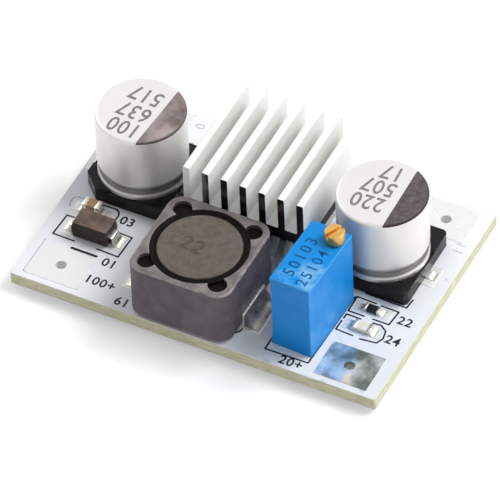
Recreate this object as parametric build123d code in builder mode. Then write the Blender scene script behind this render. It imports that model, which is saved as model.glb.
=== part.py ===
from build123d import *
import os
from math import acos, cos, pi, radians, sin, tan

# Boost converter module on a small white circuit board.
# Millimetres. The origin is under the centre of the board, level with the tips of the trimmer's
# pins, with +X along the front edge from the output side to the input side, +Y towards the back
# edge and +Z up through the parts.

os.makedirs("parts", exist_ok=True)

# Circuit board
BOARD_LENGTH = 43.5
BOARD_WIDTH = 30.0
BOARD_THICKNESS = 1.6
BOARD_CORNER_RADIUS = 0.3
COPPER = 0.05

# Solder terminals at the four corners, each with a plated wire hole
TERMINAL_LENGTH = 6.2
TERMINAL_WIDTH = 5.0
TERMINAL_INSET_X = 4.55
TERMINAL_INSET_Y = 3.25
TERMINAL_HOLE_RADIUS = 0.6
PLATING = 0.05

# Electrolytic capacitors, placed from the board's ends and from the heatsink's middle
OUTPUT_CAPACITOR_INSET = 6.7
OUTPUT_CAPACITOR_FORWARD = 1.55
INPUT_CAPACITOR_INSET = 8.0
INPUT_CAPACITOR_FORWARD = 1.5
CAN_RADIUS = 5.0
CAN_TOP = 10.5
CAN_RIM_RADIUS = 0.45
CAN_SEAM_CHAMFER = 0.15
CAN_BEAD_HEIGHT = 0.6
CRIMP_BELOW = 0.4
CRIMP_FLOOR = 0.25
CRIMP_ABOVE = 0.8
CRIMP_DEPTH = 0.4
CARRIER_MARGIN = 0.15
CARRIER_FLOOR = 1.55
CARRIER_POST = 0.25
CARRIER_CORNER_CUT = 1.9
CARRIER_CORNER_RADIUS = 0.6
CARRIER_CLEARANCE = 0.1
CARRIER_POST_SIDE = 3.4
CAPACITOR_LEAD_WIDTH = 1.1
CAPACITOR_LEAD_THICKNESS = 0.2
CAPACITOR_LEAD_PITCH = 4.6
CAPACITOR_LEAD_OVERHANG = 0.45
CAPACITOR_LAND_LENGTH = 4.1
CAPACITOR_LAND_WIDTH = 3.0
CAPACITOR_LAND_TOE = 0.8

# Shielded power inductor
INDUCTOR_X = -1.7
INDUCTOR_EDGE_GAP = 0.05
INDUCTOR_SIDE = 12.0
INDUCTOR_HEIGHT = 7.3
SHIELD_CORNER_RADIUS = 1.8
SHIELD_BORE_RADIUS = 5.4
SHIELD_LOBE_OFFSET = 4.2
SHIELD_LOBE_RADIUS = 1.05
SHIELD_EDGE_CHAMFER = 0.18
DRUM_RADIUS = 4.8
DRUM_FLANGE = 1.0
DRUM_POST_RADIUS = 2.6
DRUM_RECESS = 0.4
DRUM_EDGE_CHAMFER = 0.15
WINDING_GAP = 0.06
WINDING_BUILD = 1.8
GLUE_DEPTH = 0.7
GLUE_RECESS = 0.12
GLUE_CLEARANCE = 0.02
INDUCTOR_TERMINAL_WIDTH = 5.0
INDUCTOR_TERMINAL_THICKNESS = 0.3
INDUCTOR_TERMINAL_HEIGHT = 1.7
INDUCTOR_TERMINAL_INSET = 2.6
INDUCTOR_LAND_WIDTH = 5.6
INDUCTOR_LAND_OVERHANG = 2.3

# Converter chip with five gull-wing leads and a metal tab, placed from the heatsink's middle
CHIP_OFFSET = (0.85, 0.65)
CHIP_WIDTH = 10.2
CHIP_LENGTH = 8.9
CHIP_HEIGHT = 4.45
CHIP_DRAFT = 4.0
CHIP_STANDOFF = 0.1
CHIP_TAB_THICKNESS = 1.27
CHIP_TAB_OVERHANG = 1.35
CHIP_TAB_MARGIN = 0.4
CHIP_LEAD_COUNT = 5
CHIP_LEAD_PITCH = 1.7
CHIP_LEAD_WIDTH = 0.8
CHIP_LEAD_THICKNESS = 0.5
CHIP_LEAD_EXIT_HEIGHT = 2.4
CHIP_LEAD_INSET = 0.8
CHIP_LEAD_SHOULDER = 0.6
CHIP_LEAD_SLOPE = 1.3
CHIP_LEAD_FOOT = 1.5
CHIP_LAND_MARGIN = 0.3

# Finned heatsink, bonded to the chip and placed from the inductor
HEATSINK_OFFSET_X = 1.7
HEATSINK_BEHIND_INDUCTOR = 0.9
HEATSINK_LENGTH = 14.3
HEATSINK_HEIGHT = 6.0
HEATSINK_BASE = 1.5
FIN_COUNT = 7
FIN_PITCH = 2.25
FIN_THICKNESS = 0.8
FIN_TIP_RADIUS = 0.14
FIN_ROOT_RADIUS = 0.2
ADHESIVE_THICKNESS = 0.1
ADHESIVE_INSET = 0.6

# Multi-turn trimmer, measured in its own frame from its front left corner
TRIMMER_INSET_X = 13.55
TRIMMER_INSET_Y = 2.75
TRIMMER_TURN = -2.3
TRIMMER_WIDTH = 4.83
TRIMMER_LENGTH = 9.53
TRIMMER_HEIGHT = 10.03
TRIMMER_WALL = 0.6
TRIMMER_ROOF = 1.0
TRIMMER_EDGE_CHAMFER = 0.1
TRIMMER_PANEL_DEPTH = 0.2
TRIMMER_RIM_HEIGHT = 0.55
TRIMMER_FOOT_HEIGHT = 0.5
TRIMMER_FOOT_FLARE = 1.1
POTTING_RECESS = 0.3
POTTING_DEPTH = 1.1

# Adjusting screw with its worm
SCREW_FROM_SIDE = 1.23
SCREW_FROM_BACK = 1.58
SCREW_HEAD_RADIUS = 1.1
SCREW_HEAD_HEIGHT = 1.35
SCREW_HEAD_GAP = 0.12
SCREW_HEAD_CHAMFER = 0.1
SCREW_SLOT_WIDTH = 0.5
SCREW_SLOT_DEPTH = 0.6
SCREW_SLOT_ANGLE = 66.0
SCREW_NECK_RADIUS = 0.62
SCREW_COLLAR_RADIUS = 0.9
SCREW_COLLAR_HEIGHT = 0.4
SCREW_PIVOT_RADIUS = 0.35
SCREW_PIVOT_LENGTH = 0.8
RUNNING_CLEARANCE = 0.05
SEAL_SECTION = 0.34
SEAL_CLEARANCE = 0.03
SEAL_SEAT_DEPTH = 0.45
POCKET_CLEARANCE = 0.08
LEDGE_SIDE = 1.9
LEDGE_HEIGHT = 1.2

# Worm drive
GEAR_MODULE = 0.19
GEAR_TEETH = 32
GEAR_BACKLASH = 0.1
GEAR_PRESSURE_ANGLE = 20.0
GEAR_ADDENDUM = 0.9
GEAR_DEDENDUM = 1.2
GEAR_FACE_WIDTH = 0.9
GEAR_ROOF_CLEARANCE = 0.319
WORM_PITCH_RADIUS = 0.71
WORM_TURNS = 6
THREAD_BITE = 0.05
ROTOR_HUB_RADIUS = 2.0
ROTOR_HUB_LENGTH = 1.2
ROTOR_STUB_RADIUS = 0.4
ROTOR_STUB_LENGTH = 0.4
ROTOR_END_GAP = 0.15
WIPER_THICKNESS = 0.12
WIPER_WIDTH = 0.9
WIPER_RING_RADIUS = 0.85
WIPER_REACH = 1.9
WIPER_CONTACT_RADIUS = 0.28
WIPER_LIFT = 0.04
ELEMENT_THICKNESS = 0.7
ELEMENT_MARGIN = 0.15
TRACK_THICKNESS = 0.03
TRACK_WIDTH = 0.8
TRACK_GAP_ANGLE = 70.0
PIN_PITCH = 2.54
PIN_RADIUS = 0.25
PIN_TOP = 2.3
PIN_TAIL = 0.65
PIN_FIT = 0.01
PIN_HOLE_RADIUS = 0.5
PIN_LAND_MARGIN = 0.1
JOINT_RADIUS = 0.9
JOINT_TIP_RADIUS = 0.38
JOINT_HEIGHT = 0.45

# Rectifier diode, placed from the board's end and from the output capacitor
DIODE_INSET = 5.75
DIODE_FORWARD = 9.8
DIODE_LENGTH = 4.3
DIODE_WIDTH = 2.6
DIODE_HEIGHT = 2.15
DIODE_DRAFT = 6.0
DIODE_STANDOFF = 0.12
DIODE_LEAD_WIDTH = 1.45
DIODE_LEAD_THICKNESS = 0.2
DIODE_LEAD_OVERHANG = 0.4
DIODE_LEAD_FOOT = 1.2
DIODE_LEAD_INSET = 0.5
DIODE_LAND_LENGTH = 2.1
DIODE_LAND_WIDTH = 2.4
DIODE_LAND_REACH = 3.55

# Small chip parts: length, width, height and end cap length, and the distances from the board's
# end and from the capacitor behind each one
CERAMIC_CAPACITOR = dict(length=2.0, width=1.25, height=1.25, cap=0.5, inset=3.95, forward=6.75)
DIVIDER_RESISTOR = dict(length=1.75, width=0.9, height=0.5, cap=0.28, inset=5.8, forward=7.2)
BIAS_RESISTOR = dict(length=2.1, width=1.25, height=0.55, cap=0.4, inset=5.6, forward=10.0)
CHIP_PART_SKIN = 0.03
CHIP_PART_LAND_LENGTH = 1.5
CHIP_PART_LAND_WIDTH = 1.45
CHIP_PART_LAND_OVERLAP = 0.35

# Solder fillets: how far each runs out, how high it climbs and how hollow its face is
FILLET_TOE = 0.05
FILLET_HOLLOW = 0.34
CHIP_PART_FILLET = (0.7, 0.42)
DIODE_FILLET = (0.8, 0.75)
CAPACITOR_FILLET = (0.7, 0.2)
INDUCTOR_FILLET = (1.7, 1.3)
CHIP_LEAD_FILLET = (0.28, 0.35)
CHIP_TAB_FILLET = (0.28, 0.6)

# Plated via, one small copper tube with a land on each face, placed from the corner terminal
VIA_BESIDE_TERMINAL = 1.4
VIA_FORWARD = 1.65
VIA_RADIUS = 0.25
VIA_LAND_RADIUS = 0.5

# Levels and places worked out from the sizes above
board_bottom = PIN_TAIL
board_top = board_bottom + BOARD_THICKNESS
land_top = board_top + COPPER
terminal_x = BOARD_LENGTH / 2 - TERMINAL_INSET_X
terminal_y = BOARD_WIDTH / 2 - TERMINAL_INSET_Y
terminal_points = [(x, y) for x in (-terminal_x, terminal_x) for y in (-terminal_y, terminal_y)]
half_length = BOARD_LENGTH / 2
inductor_x = INDUCTOR_X
inductor_y = INDUCTOR_EDGE_GAP + (INDUCTOR_SIDE - BOARD_WIDTH) / 2
inductor_back = inductor_y + INDUCTOR_SIDE / 2
heatsink_x = inductor_x + HEATSINK_OFFSET_X
heatsink_y = inductor_back + HEATSINK_BEHIND_INDUCTOR + HEATSINK_LENGTH / 2
chip_x = heatsink_x + CHIP_OFFSET[0]
chip_y = heatsink_y + CHIP_OFFSET[1]
output_y = heatsink_y - OUTPUT_CAPACITOR_FORWARD
input_y = heatsink_y - INPUT_CAPACITOR_FORWARD
carrier_side = 2 * (CAN_RADIUS + CARRIER_MARGIN)
diode_x = DIODE_INSET - half_length
diode_y = output_y - DIODE_FORWARD
via_point = (
    VIA_BESIDE_TERMINAL + TERMINAL_LENGTH / 2 - terminal_x,
    terminal_y - VIA_FORWARD,
)
trimmer = Plane(
    origin=(half_length - TRIMMER_INSET_X, TRIMMER_INSET_Y - BOARD_WIDTH / 2, board_top),
    x_dir=(cos(radians(TRIMMER_TURN)), sin(radians(TRIMMER_TURN)), 0),
    z_dir=(0, 0, 1),
)


def save(piece, name):
    """Label a finished piece and write it to its own STEP file."""
    piece.part.label = name
    export_step(piece.part, f"parts/{name}.step")


def upright(x, y, z=0.0, side=1):
    """A plane whose sketch runs along X, or back along it for side -1, and up Z."""
    return Plane(origin=(x, y, z), x_dir=(side, 0, 0), z_dir=(0, -side, 0))


def trimmer_level(x, y, z):
    """A level plane at a point of the trimmer's own frame."""
    return Plane(origin=trimmer.from_local_coords(Vector(x, y, z)), x_dir=trimmer.x_dir)


def trimmer_side(x, y, z):
    """A plane across the rotor's axis: the sketch runs along the trimmer's Y and up Z."""
    origin = trimmer.from_local_coords(Vector(x, y, z))
    return Plane(origin=origin, x_dir=trimmer.y_dir, z_dir=trimmer.x_dir)


# Places inside the trimmer, in its own frame
screw_x = TRIMMER_WIDTH - SCREW_FROM_SIDE
screw_y = TRIMMER_LENGTH - SCREW_FROM_BACK
thread_pitch = pi * GEAR_MODULE
gear_radius = GEAR_MODULE * GEAR_TEETH / 2
gear_y = screw_y - WORM_PITCH_RADIUS - gear_radius
gear_left = screw_x - GEAR_FACE_WIDTH / 2
hub_left = gear_left - ROTOR_HUB_LENGTH
element_face = TRIMMER_WALL + ELEMENT_THICKNESS
cavity_width = TRIMMER_WIDTH - 2 * TRIMMER_WALL
cavity_length = TRIMMER_LENGTH - 2 * TRIMMER_WALL
cavity_roof = TRIMMER_HEIGHT - TRIMMER_ROOF
gear_root = gear_radius - GEAR_DEDENDUM * GEAR_MODULE
gear_tip = gear_radius + GEAR_ADDENDUM * GEAR_MODULE
gear_height = cavity_roof - gear_tip - GEAR_ROOF_CLEARANCE
potting_top = POTTING_RECESS + POTTING_DEPTH
seal_radius = SCREW_NECK_RADIUS + SEAL_CLEARANCE + SEAL_SECTION
seal_bore_radius = seal_radius + SEAL_CLEARANCE
worm_bottom = gear_height - (WORM_TURNS // 2 + 0.25) * thread_pitch
worm_core_radius = WORM_PITCH_RADIUS - GEAR_DEDENDUM * GEAR_MODULE
worm_outer_radius = WORM_PITCH_RADIUS + GEAR_ADDENDUM * GEAR_MODULE
pin_x = element_face + PIN_RADIUS
pin_spots = [(pin_x, TRIMMER_LENGTH / 2 + i * PIN_PITCH) for i in (-1, 0, 1)]


CAPACITORS = {
    "output_capacitor": (OUTPUT_CAPACITOR_INSET - half_length, output_y),
    "input_capacitor": (half_length - INPUT_CAPACITOR_INSET, input_y),
}
CHIP_PARTS = {
    "ceramic_capacitor": CERAMIC_CAPACITOR,
    "divider_resistor": DIVIDER_RESISTOR,
    "bias_resistor": BIAS_RESISTOR,
}
CHIP_PART_NEIGHBOURS = ((-1, output_y), (1, input_y), (1, input_y))
for size, (end, capacitor_y) in zip(CHIP_PARTS.values(), CHIP_PART_NEIGHBOURS):
    size["centre"] = (end * (half_length - size["inset"]), capacitor_y - size["forward"])


# Circuit board with its drillings: wire holes, via and trimmer pin holes
with BuildPart() as pcb:
    with BuildSketch(Plane.XY.offset(board_bottom)):
        RectangleRounded(BOARD_LENGTH, BOARD_WIDTH, BOARD_CORNER_RADIUS)
        with Locations(*terminal_points):
            Circle(TERMINAL_HOLE_RADIUS + PLATING, mode=Mode.SUBTRACT)
        with Locations(via_point):
            Circle(VIA_RADIUS + PLATING, mode=Mode.SUBTRACT)
    extrude(amount=BOARD_THICKNESS)
    with BuildSketch(trimmer_level(0, 0, -BOARD_THICKNESS)):
        with Locations(*pin_spots):
            Circle(PIN_HOLE_RADIUS)
    extrude(amount=BOARD_THICKNESS, mode=Mode.SUBTRACT)
save(pcb, "pcb")


# Corner terminals: a land on each face of the board, joined through the plated hole
with BuildPart() as terminals:
    for level in (board_top, board_bottom - COPPER):
        with BuildSketch(Plane.XY.offset(level)):
            with Locations(*terminal_points):
                Rectangle(TERMINAL_LENGTH, TERMINAL_WIDTH)
                Circle(TERMINAL_HOLE_RADIUS, mode=Mode.SUBTRACT)
        extrude(amount=COPPER)
    with BuildSketch(Plane.XY.offset(board_bottom)):
        with Locations(*terminal_points):
            Circle(TERMINAL_HOLE_RADIUS + PLATING)
            Circle(TERMINAL_HOLE_RADIUS, mode=Mode.SUBTRACT)
    extrude(amount=BOARD_THICKNESS)
save(terminals, "corner_terminals")

with BuildPart() as via:
    for level in (board_top, board_bottom - COPPER):
        with BuildSketch(Plane.XY.offset(level)):
            with Locations(via_point):
                Circle(VIA_LAND_RADIUS)
                Circle(VIA_RADIUS, mode=Mode.SUBTRACT)
        extrude(amount=COPPER)
    with BuildSketch(Plane.XY.offset(board_bottom)):
        with Locations(via_point):
            Circle(VIA_RADIUS + PLATING)
            Circle(VIA_RADIUS, mode=Mode.SUBTRACT)
    extrude(amount=BOARD_THICKNESS)
save(via, "via")


# Where each lead or end cap meets the board: x, y, length and width of its land
carrier_opening = carrier_side - 2 * CARRIER_POST_SIDE
capacitor_lead_end = carrier_side / 2 + CAPACITOR_LEAD_OVERHANG
capacitor_reach = capacitor_lead_end + CAPACITOR_LAND_TOE - CAPACITOR_LAND_LENGTH / 2
inductor_land_end = INDUCTOR_SIDE / 2 + INDUCTOR_LAND_OVERHANG
inductor_land_start = INDUCTOR_SIDE / 2 - INDUCTOR_TERMINAL_INSET
chip_front = chip_y - CHIP_LENGTH / 2
chip_back = chip_y + CHIP_LENGTH / 2
foot_end = chip_front - CHIP_LEAD_SHOULDER - CHIP_LEAD_SLOPE - CHIP_LEAD_FOOT
first_lead_x = chip_x - (CHIP_LEAD_COUNT - 1) / 2 * CHIP_LEAD_PITCH
chip_lead_x = [first_lead_x + i * CHIP_LEAD_PITCH for i in range(CHIP_LEAD_COUNT)]
chip_tab_width = CHIP_WIDTH - 2 * CHIP_TAB_MARGIN
chip_tab_length = CHIP_LENGTH - CHIP_TAB_MARGIN + CHIP_TAB_OVERHANG
chip_tab_y = chip_back + CHIP_TAB_OVERHANG - chip_tab_length / 2

lands = []
for x, y in CAPACITORS.values():
    for side in (-1, 1):
        lands.append((x + side * capacitor_reach, y, CAPACITOR_LAND_LENGTH, CAPACITOR_LAND_WIDTH))
for side in (-1, 1):
    x = inductor_x + side * (inductor_land_end + inductor_land_start) / 2
    lands.append((x, inductor_y, inductor_land_end - inductor_land_start, INDUCTOR_LAND_WIDTH))
    x = diode_x + side * (DIODE_LAND_REACH - DIODE_LAND_LENGTH / 2)
    lands.append((x, diode_y, DIODE_LAND_LENGTH, DIODE_LAND_WIDTH))
    for chip_part in CHIP_PARTS.values():
        x, y = chip_part["centre"]
        reach = chip_part["length"] / 2 - CHIP_PART_LAND_OVERLAP + CHIP_PART_LAND_LENGTH / 2
        lands.append((x + side * reach, y, CHIP_PART_LAND_LENGTH, CHIP_PART_LAND_WIDTH))
for x in chip_lead_x:
    y = foot_end + CHIP_LEAD_FOOT / 2
    lands.append((x, y, CHIP_LEAD_WIDTH + CHIP_LAND_MARGIN, CHIP_LEAD_FOOT + 2 * CHIP_LAND_MARGIN))
tab_land_width = CHIP_WIDTH + 2 * CHIP_LAND_MARGIN
lands.append((chip_x, chip_tab_y, tab_land_width, chip_tab_length + 2 * CHIP_LAND_MARGIN))

with BuildPart() as solder_lands:
    with BuildSketch(Plane.XY.offset(board_top)):
        for x, y, length, width in lands:
            with Locations((x, y)):
                Rectangle(length, width)
    extrude(amount=COPPER)
    # Round lands under the board, one for each pin of the trimmer
    with BuildSketch(trimmer_level(0, 0, -BOARD_THICKNESS - COPPER)):
        with Locations(*pin_spots):
            Circle(JOINT_RADIUS + PIN_LAND_MARGIN)
            Circle(PIN_HOLE_RADIUS, mode=Mode.SUBTRACT)
    extrude(amount=COPPER)
save(solder_lands, "solder_lands")


def capacitor_leads(centre):
    """Two flat leads: each drops from the can's floor and turns out under the carrier."""
    x, y = centre
    with BuildPart() as leads:
        for side in (-1, 1):
            with BuildSketch(upright(x, y, land_top, side)):
                inner = CAPACITOR_LEAD_PITCH / 2
                outer = capacitor_lead_end
                thickness = CAPACITOR_LEAD_THICKNESS
                with BuildLine():
                    Polyline((inner, 0), (outer, 0), (outer, thickness), (inner + thickness, thickness),
                             (inner + thickness, CARRIER_FLOOR), (inner, CARRIER_FLOOR), close=True)
                make_face()
            extrude(amount=CAPACITOR_LEAD_WIDTH / 2, both=True)
    return leads


def capacitor_carrier(centre, leads):
    """Square plastic carrier: four corner walls round the can, two cut corners."""
    x, y = centre
    with BuildPart() as carrier:
        with BuildSketch(Plane(origin=(x, y, land_top))) as outline:
            Rectangle(carrier_side, carrier_side)
            fillet(outline.vertices().sort_by(Axis.X)[2:], CARRIER_CORNER_RADIUS)
            chamfer(outline.vertices().sort_by(Axis.X)[:2], CARRIER_CORNER_CUT)
        extrude(amount=CARRIER_FLOOR)
        with BuildSketch(Plane(origin=(x, y, land_top + CARRIER_FLOOR))) as posts:
            Rectangle(carrier_side, carrier_side)
            fillet(posts.vertices().sort_by(Axis.X)[2:], CARRIER_CORNER_RADIUS)
            chamfer(posts.vertices().sort_by(Axis.X)[:2], CARRIER_CORNER_CUT)
            Circle(CAN_RADIUS + CARRIER_CLEARANCE, mode=Mode.SUBTRACT)
            Rectangle(carrier_side, carrier_opening, mode=Mode.SUBTRACT)
            Rectangle(carrier_opening, carrier_side, mode=Mode.SUBTRACT)
        extrude(amount=CARRIER_POST)
        add(leads.part, mode=Mode.SUBTRACT)
    return carrier


def capacitor_can(centre):
    """Sealed aluminium can: rolled bottom, bead, crimp and a rounded top rim."""
    x, y = centre
    bottom = land_top + CARRIER_FLOOR
    bead_top = bottom + CAN_BEAD_HEIGHT
    crimp_bottom = bead_top + CRIMP_BELOW
    crimp_top = crimp_bottom + CRIMP_FLOOR
    top = board_top + CAN_TOP
    with BuildPart() as can:
        with BuildSketch(upright(x, y)) as profile:
            with BuildLine():
                Polyline((0, top), (0, bottom), (CAN_RADIUS, bottom), (CAN_RADIUS, bead_top),
                         (CAN_RADIUS - CRIMP_DEPTH, crimp_bottom),
                         (CAN_RADIUS - CRIMP_DEPTH, crimp_top),
                         (CAN_RADIUS, crimp_top + CRIMP_ABOVE), (CAN_RADIUS, top), close=True)
            make_face()
            rim = profile.vertices().group_by(Axis.X)[-1].sort_by(Axis.Y)
            fillet(rim[-1], CAN_RIM_RADIUS)
            chamfer(rim[0], CAN_SEAM_CHAMFER)
        revolve(axis=Axis((x, y, 0), (0, 0, 1)))
    return can


for name, centre in CAPACITORS.items():
    leads = capacitor_leads(centre)
    save(leads, f"{name}_leads")
    save(capacitor_carrier(centre, leads), f"{name}_carrier")
    save(capacitor_can(centre), f"{name}_can")


# Inductor: flat terminals under the body, turned up against its two ends
shield_bottom = land_top + INDUCTOR_TERMINAL_THICKNESS
shield_top = board_top + INDUCTOR_HEIGHT
drum_top = shield_top - DRUM_RECESS
with BuildPart() as inductor_terminals:
    for side in (-1, 1):
        with BuildSketch(upright(inductor_x, inductor_y, land_top, side)):
            inner = INDUCTOR_SIDE / 2 - INDUCTOR_TERMINAL_INSET
            outer = INDUCTOR_SIDE / 2 + INDUCTOR_TERMINAL_THICKNESS
            with BuildLine():
                Polyline((inner, 0), (outer, 0), (outer, INDUCTOR_TERMINAL_HEIGHT),
                         (INDUCTOR_SIDE / 2, INDUCTOR_TERMINAL_HEIGHT),
                         (INDUCTOR_SIDE / 2, INDUCTOR_TERMINAL_THICKNESS),
                         (inner, INDUCTOR_TERMINAL_THICKNESS), close=True)
            make_face()
        extrude(amount=INDUCTOR_TERMINAL_WIDTH / 2, both=True)
save(inductor_terminals, "inductor_terminals")

# Square ferrite shield with a round bore and four corner lobes
with BuildPart() as shield:
    with BuildSketch(Plane(origin=(inductor_x, inductor_y, shield_bottom))):
        RectangleRounded(INDUCTOR_SIDE, INDUCTOR_SIDE, SHIELD_CORNER_RADIUS)
    extrude(amount=shield_top - shield_bottom)
    chamfer(shield.faces().sort_by(Axis.Z)[-1].outer_wire().edges(), SHIELD_EDGE_CHAMFER)
    with BuildSketch(Plane(origin=(inductor_x, inductor_y, shield_bottom))):
        Circle(SHIELD_BORE_RADIUS)
        with GridLocations(2 * SHIELD_LOBE_OFFSET, 2 * SHIELD_LOBE_OFFSET, 2, 2):
            Circle(SHIELD_LOBE_RADIUS)
    extrude(amount=shield_top - shield_bottom, mode=Mode.SUBTRACT)
save(shield, "inductor_shield")

# Ferrite drum core: two flanges on a post
post_bottom = shield_bottom + DRUM_FLANGE
post_top = drum_top - DRUM_FLANGE
with BuildPart() as drum:
    with BuildSketch(upright(inductor_x, inductor_y)) as profile:
        with BuildLine():
            Polyline((0, shield_bottom), (DRUM_RADIUS, shield_bottom), (DRUM_RADIUS, post_bottom),
                     (DRUM_POST_RADIUS, post_bottom), (DRUM_POST_RADIUS, post_top),
                     (DRUM_RADIUS, post_top), (DRUM_RADIUS, drum_top), (0, drum_top), close=True)
        make_face()
        flange_corners = profile.vertices().group_by(Axis.X)[-1].sort_by(Axis.Y)
        chamfer(flange_corners[-1], DRUM_EDGE_CHAMFER)
    revolve(axis=Axis((inductor_x, inductor_y, 0), (0, 0, 1)))
save(drum, "inductor_drum_core")

# Copper winding: the wound coil, as one ring on the post
winding_inner = DRUM_POST_RADIUS + WINDING_GAP
winding_bottom = post_bottom + WINDING_GAP
with BuildPart() as winding:
    with BuildSketch(Plane(origin=(inductor_x, inductor_y, winding_bottom))):
        Circle(winding_inner + WINDING_BUILD)
        Circle(winding_inner, mode=Mode.SUBTRACT)
    extrude(amount=post_top - post_bottom - 2 * WINDING_GAP)
save(winding, "inductor_winding")

# Dark glue that fills the gap and the lobes round the drum's top flange
with BuildPart() as glue:
    with BuildSketch(Plane(origin=(inductor_x, inductor_y, drum_top - GLUE_RECESS - GLUE_DEPTH))):
        Circle(SHIELD_BORE_RADIUS - GLUE_CLEARANCE)
        with GridLocations(2 * SHIELD_LOBE_OFFSET, 2 * SHIELD_LOBE_OFFSET, 2, 2):
            Circle(SHIELD_LOBE_RADIUS - GLUE_CLEARANCE)
        Circle(DRUM_RADIUS + GLUE_CLEARANCE, mode=Mode.SUBTRACT)
    extrude(amount=GLUE_DEPTH)
save(glue, "inductor_glue")


# Converter chip: the gull-wing leads, each one bent strip
lead_middle = land_top + CHIP_LEAD_THICKNESS / 2
lead_exit = board_top + CHIP_LEAD_EXIT_HEIGHT
with BuildPart() as chip_leads:
    lead_planes = [
        Plane(origin=(x - CHIP_LEAD_WIDTH / 2, chip_front, 0), x_dir=(0, 1, 0), z_dir=(1, 0, 0))
        for x in chip_lead_x
    ]
    with BuildSketch(*lead_planes):
        with BuildLine() as lead_path:
            FilletPolyline(
                (CHIP_LEAD_INSET, lead_exit),
                (-CHIP_LEAD_SHOULDER, lead_exit),
                (-CHIP_LEAD_SHOULDER - CHIP_LEAD_SLOPE, lead_middle),
                (foot_end - chip_front, lead_middle),
                radius=CHIP_LEAD_THICKNESS,
            )
        trace(lead_path.line, CHIP_LEAD_THICKNESS)
    extrude(amount=CHIP_LEAD_WIDTH)
save(chip_leads, "converter_chip_leads")

# Chip tab: the metal slug under the body, standing out behind it
with BuildPart() as chip_tab:
    with BuildSketch(Plane(origin=(chip_x, chip_tab_y, land_top))):
        Rectangle(chip_tab_width, chip_tab_length)
    extrude(amount=CHIP_TAB_THICKNESS)
save(chip_tab, "converter_chip_tab")

# Chip body: two tapered halves that meet at the lead's level
with BuildPart() as chip_body:
    with BuildSketch(Plane(origin=(chip_x, chip_y, lead_exit))):
        Rectangle(CHIP_WIDTH, CHIP_LENGTH)
    extrude(amount=board_top + CHIP_HEIGHT - lead_exit, taper=CHIP_DRAFT)
    with BuildSketch(Plane(origin=(chip_x, chip_y, lead_exit), z_dir=(0, 0, -1))):
        Rectangle(CHIP_WIDTH, CHIP_LENGTH)
    extrude(amount=lead_exit - land_top - CHIP_STANDOFF, taper=CHIP_DRAFT)
    add(chip_tab.part, mode=Mode.SUBTRACT)
    add(chip_leads.part, mode=Mode.SUBTRACT)
save(chip_body, "converter_chip_body")


# Heatsink: one extrusion of a base and seven fins, and the adhesive that bonds it to the chip
adhesive_bottom = board_top + CHIP_HEIGHT
heatsink_bottom = adhesive_bottom + ADHESIVE_THICKNESS
heatsink_width = (FIN_COUNT - 1) * FIN_PITCH + FIN_THICKNESS
fin_height = HEATSINK_HEIGHT - HEATSINK_BASE
with BuildPart() as adhesive:
    with BuildSketch(Plane(origin=(chip_x, chip_y, adhesive_bottom))):
        Rectangle(CHIP_WIDTH - 2 * ADHESIVE_INSET, CHIP_LENGTH - 2 * ADHESIVE_INSET)
    extrude(amount=ADHESIVE_THICKNESS)
save(adhesive, "thermal_adhesive")

with BuildPart() as heatsink:
    with BuildSketch(upright(heatsink_x, heatsink_y, heatsink_bottom)) as section:
        Rectangle(heatsink_width, HEATSINK_BASE, align=(Align.CENTER, Align.MIN))
        with Locations((0, HEATSINK_BASE)):
            with GridLocations(FIN_PITCH, 0, FIN_COUNT, 1):
                Rectangle(FIN_THICKNESS, fin_height, align=(Align.CENTER, Align.MIN))
        tips = section.vertices().group_by(Axis.Y)[-1]
        fillet(tips, FIN_TIP_RADIUS)
        roots = section.vertices().group_by(Axis.Y)[1]
        fillet(roots, FIN_ROOT_RADIUS)
    extrude(amount=HEATSINK_LENGTH / 2, both=True)
save(heatsink, "heatsink")


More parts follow.
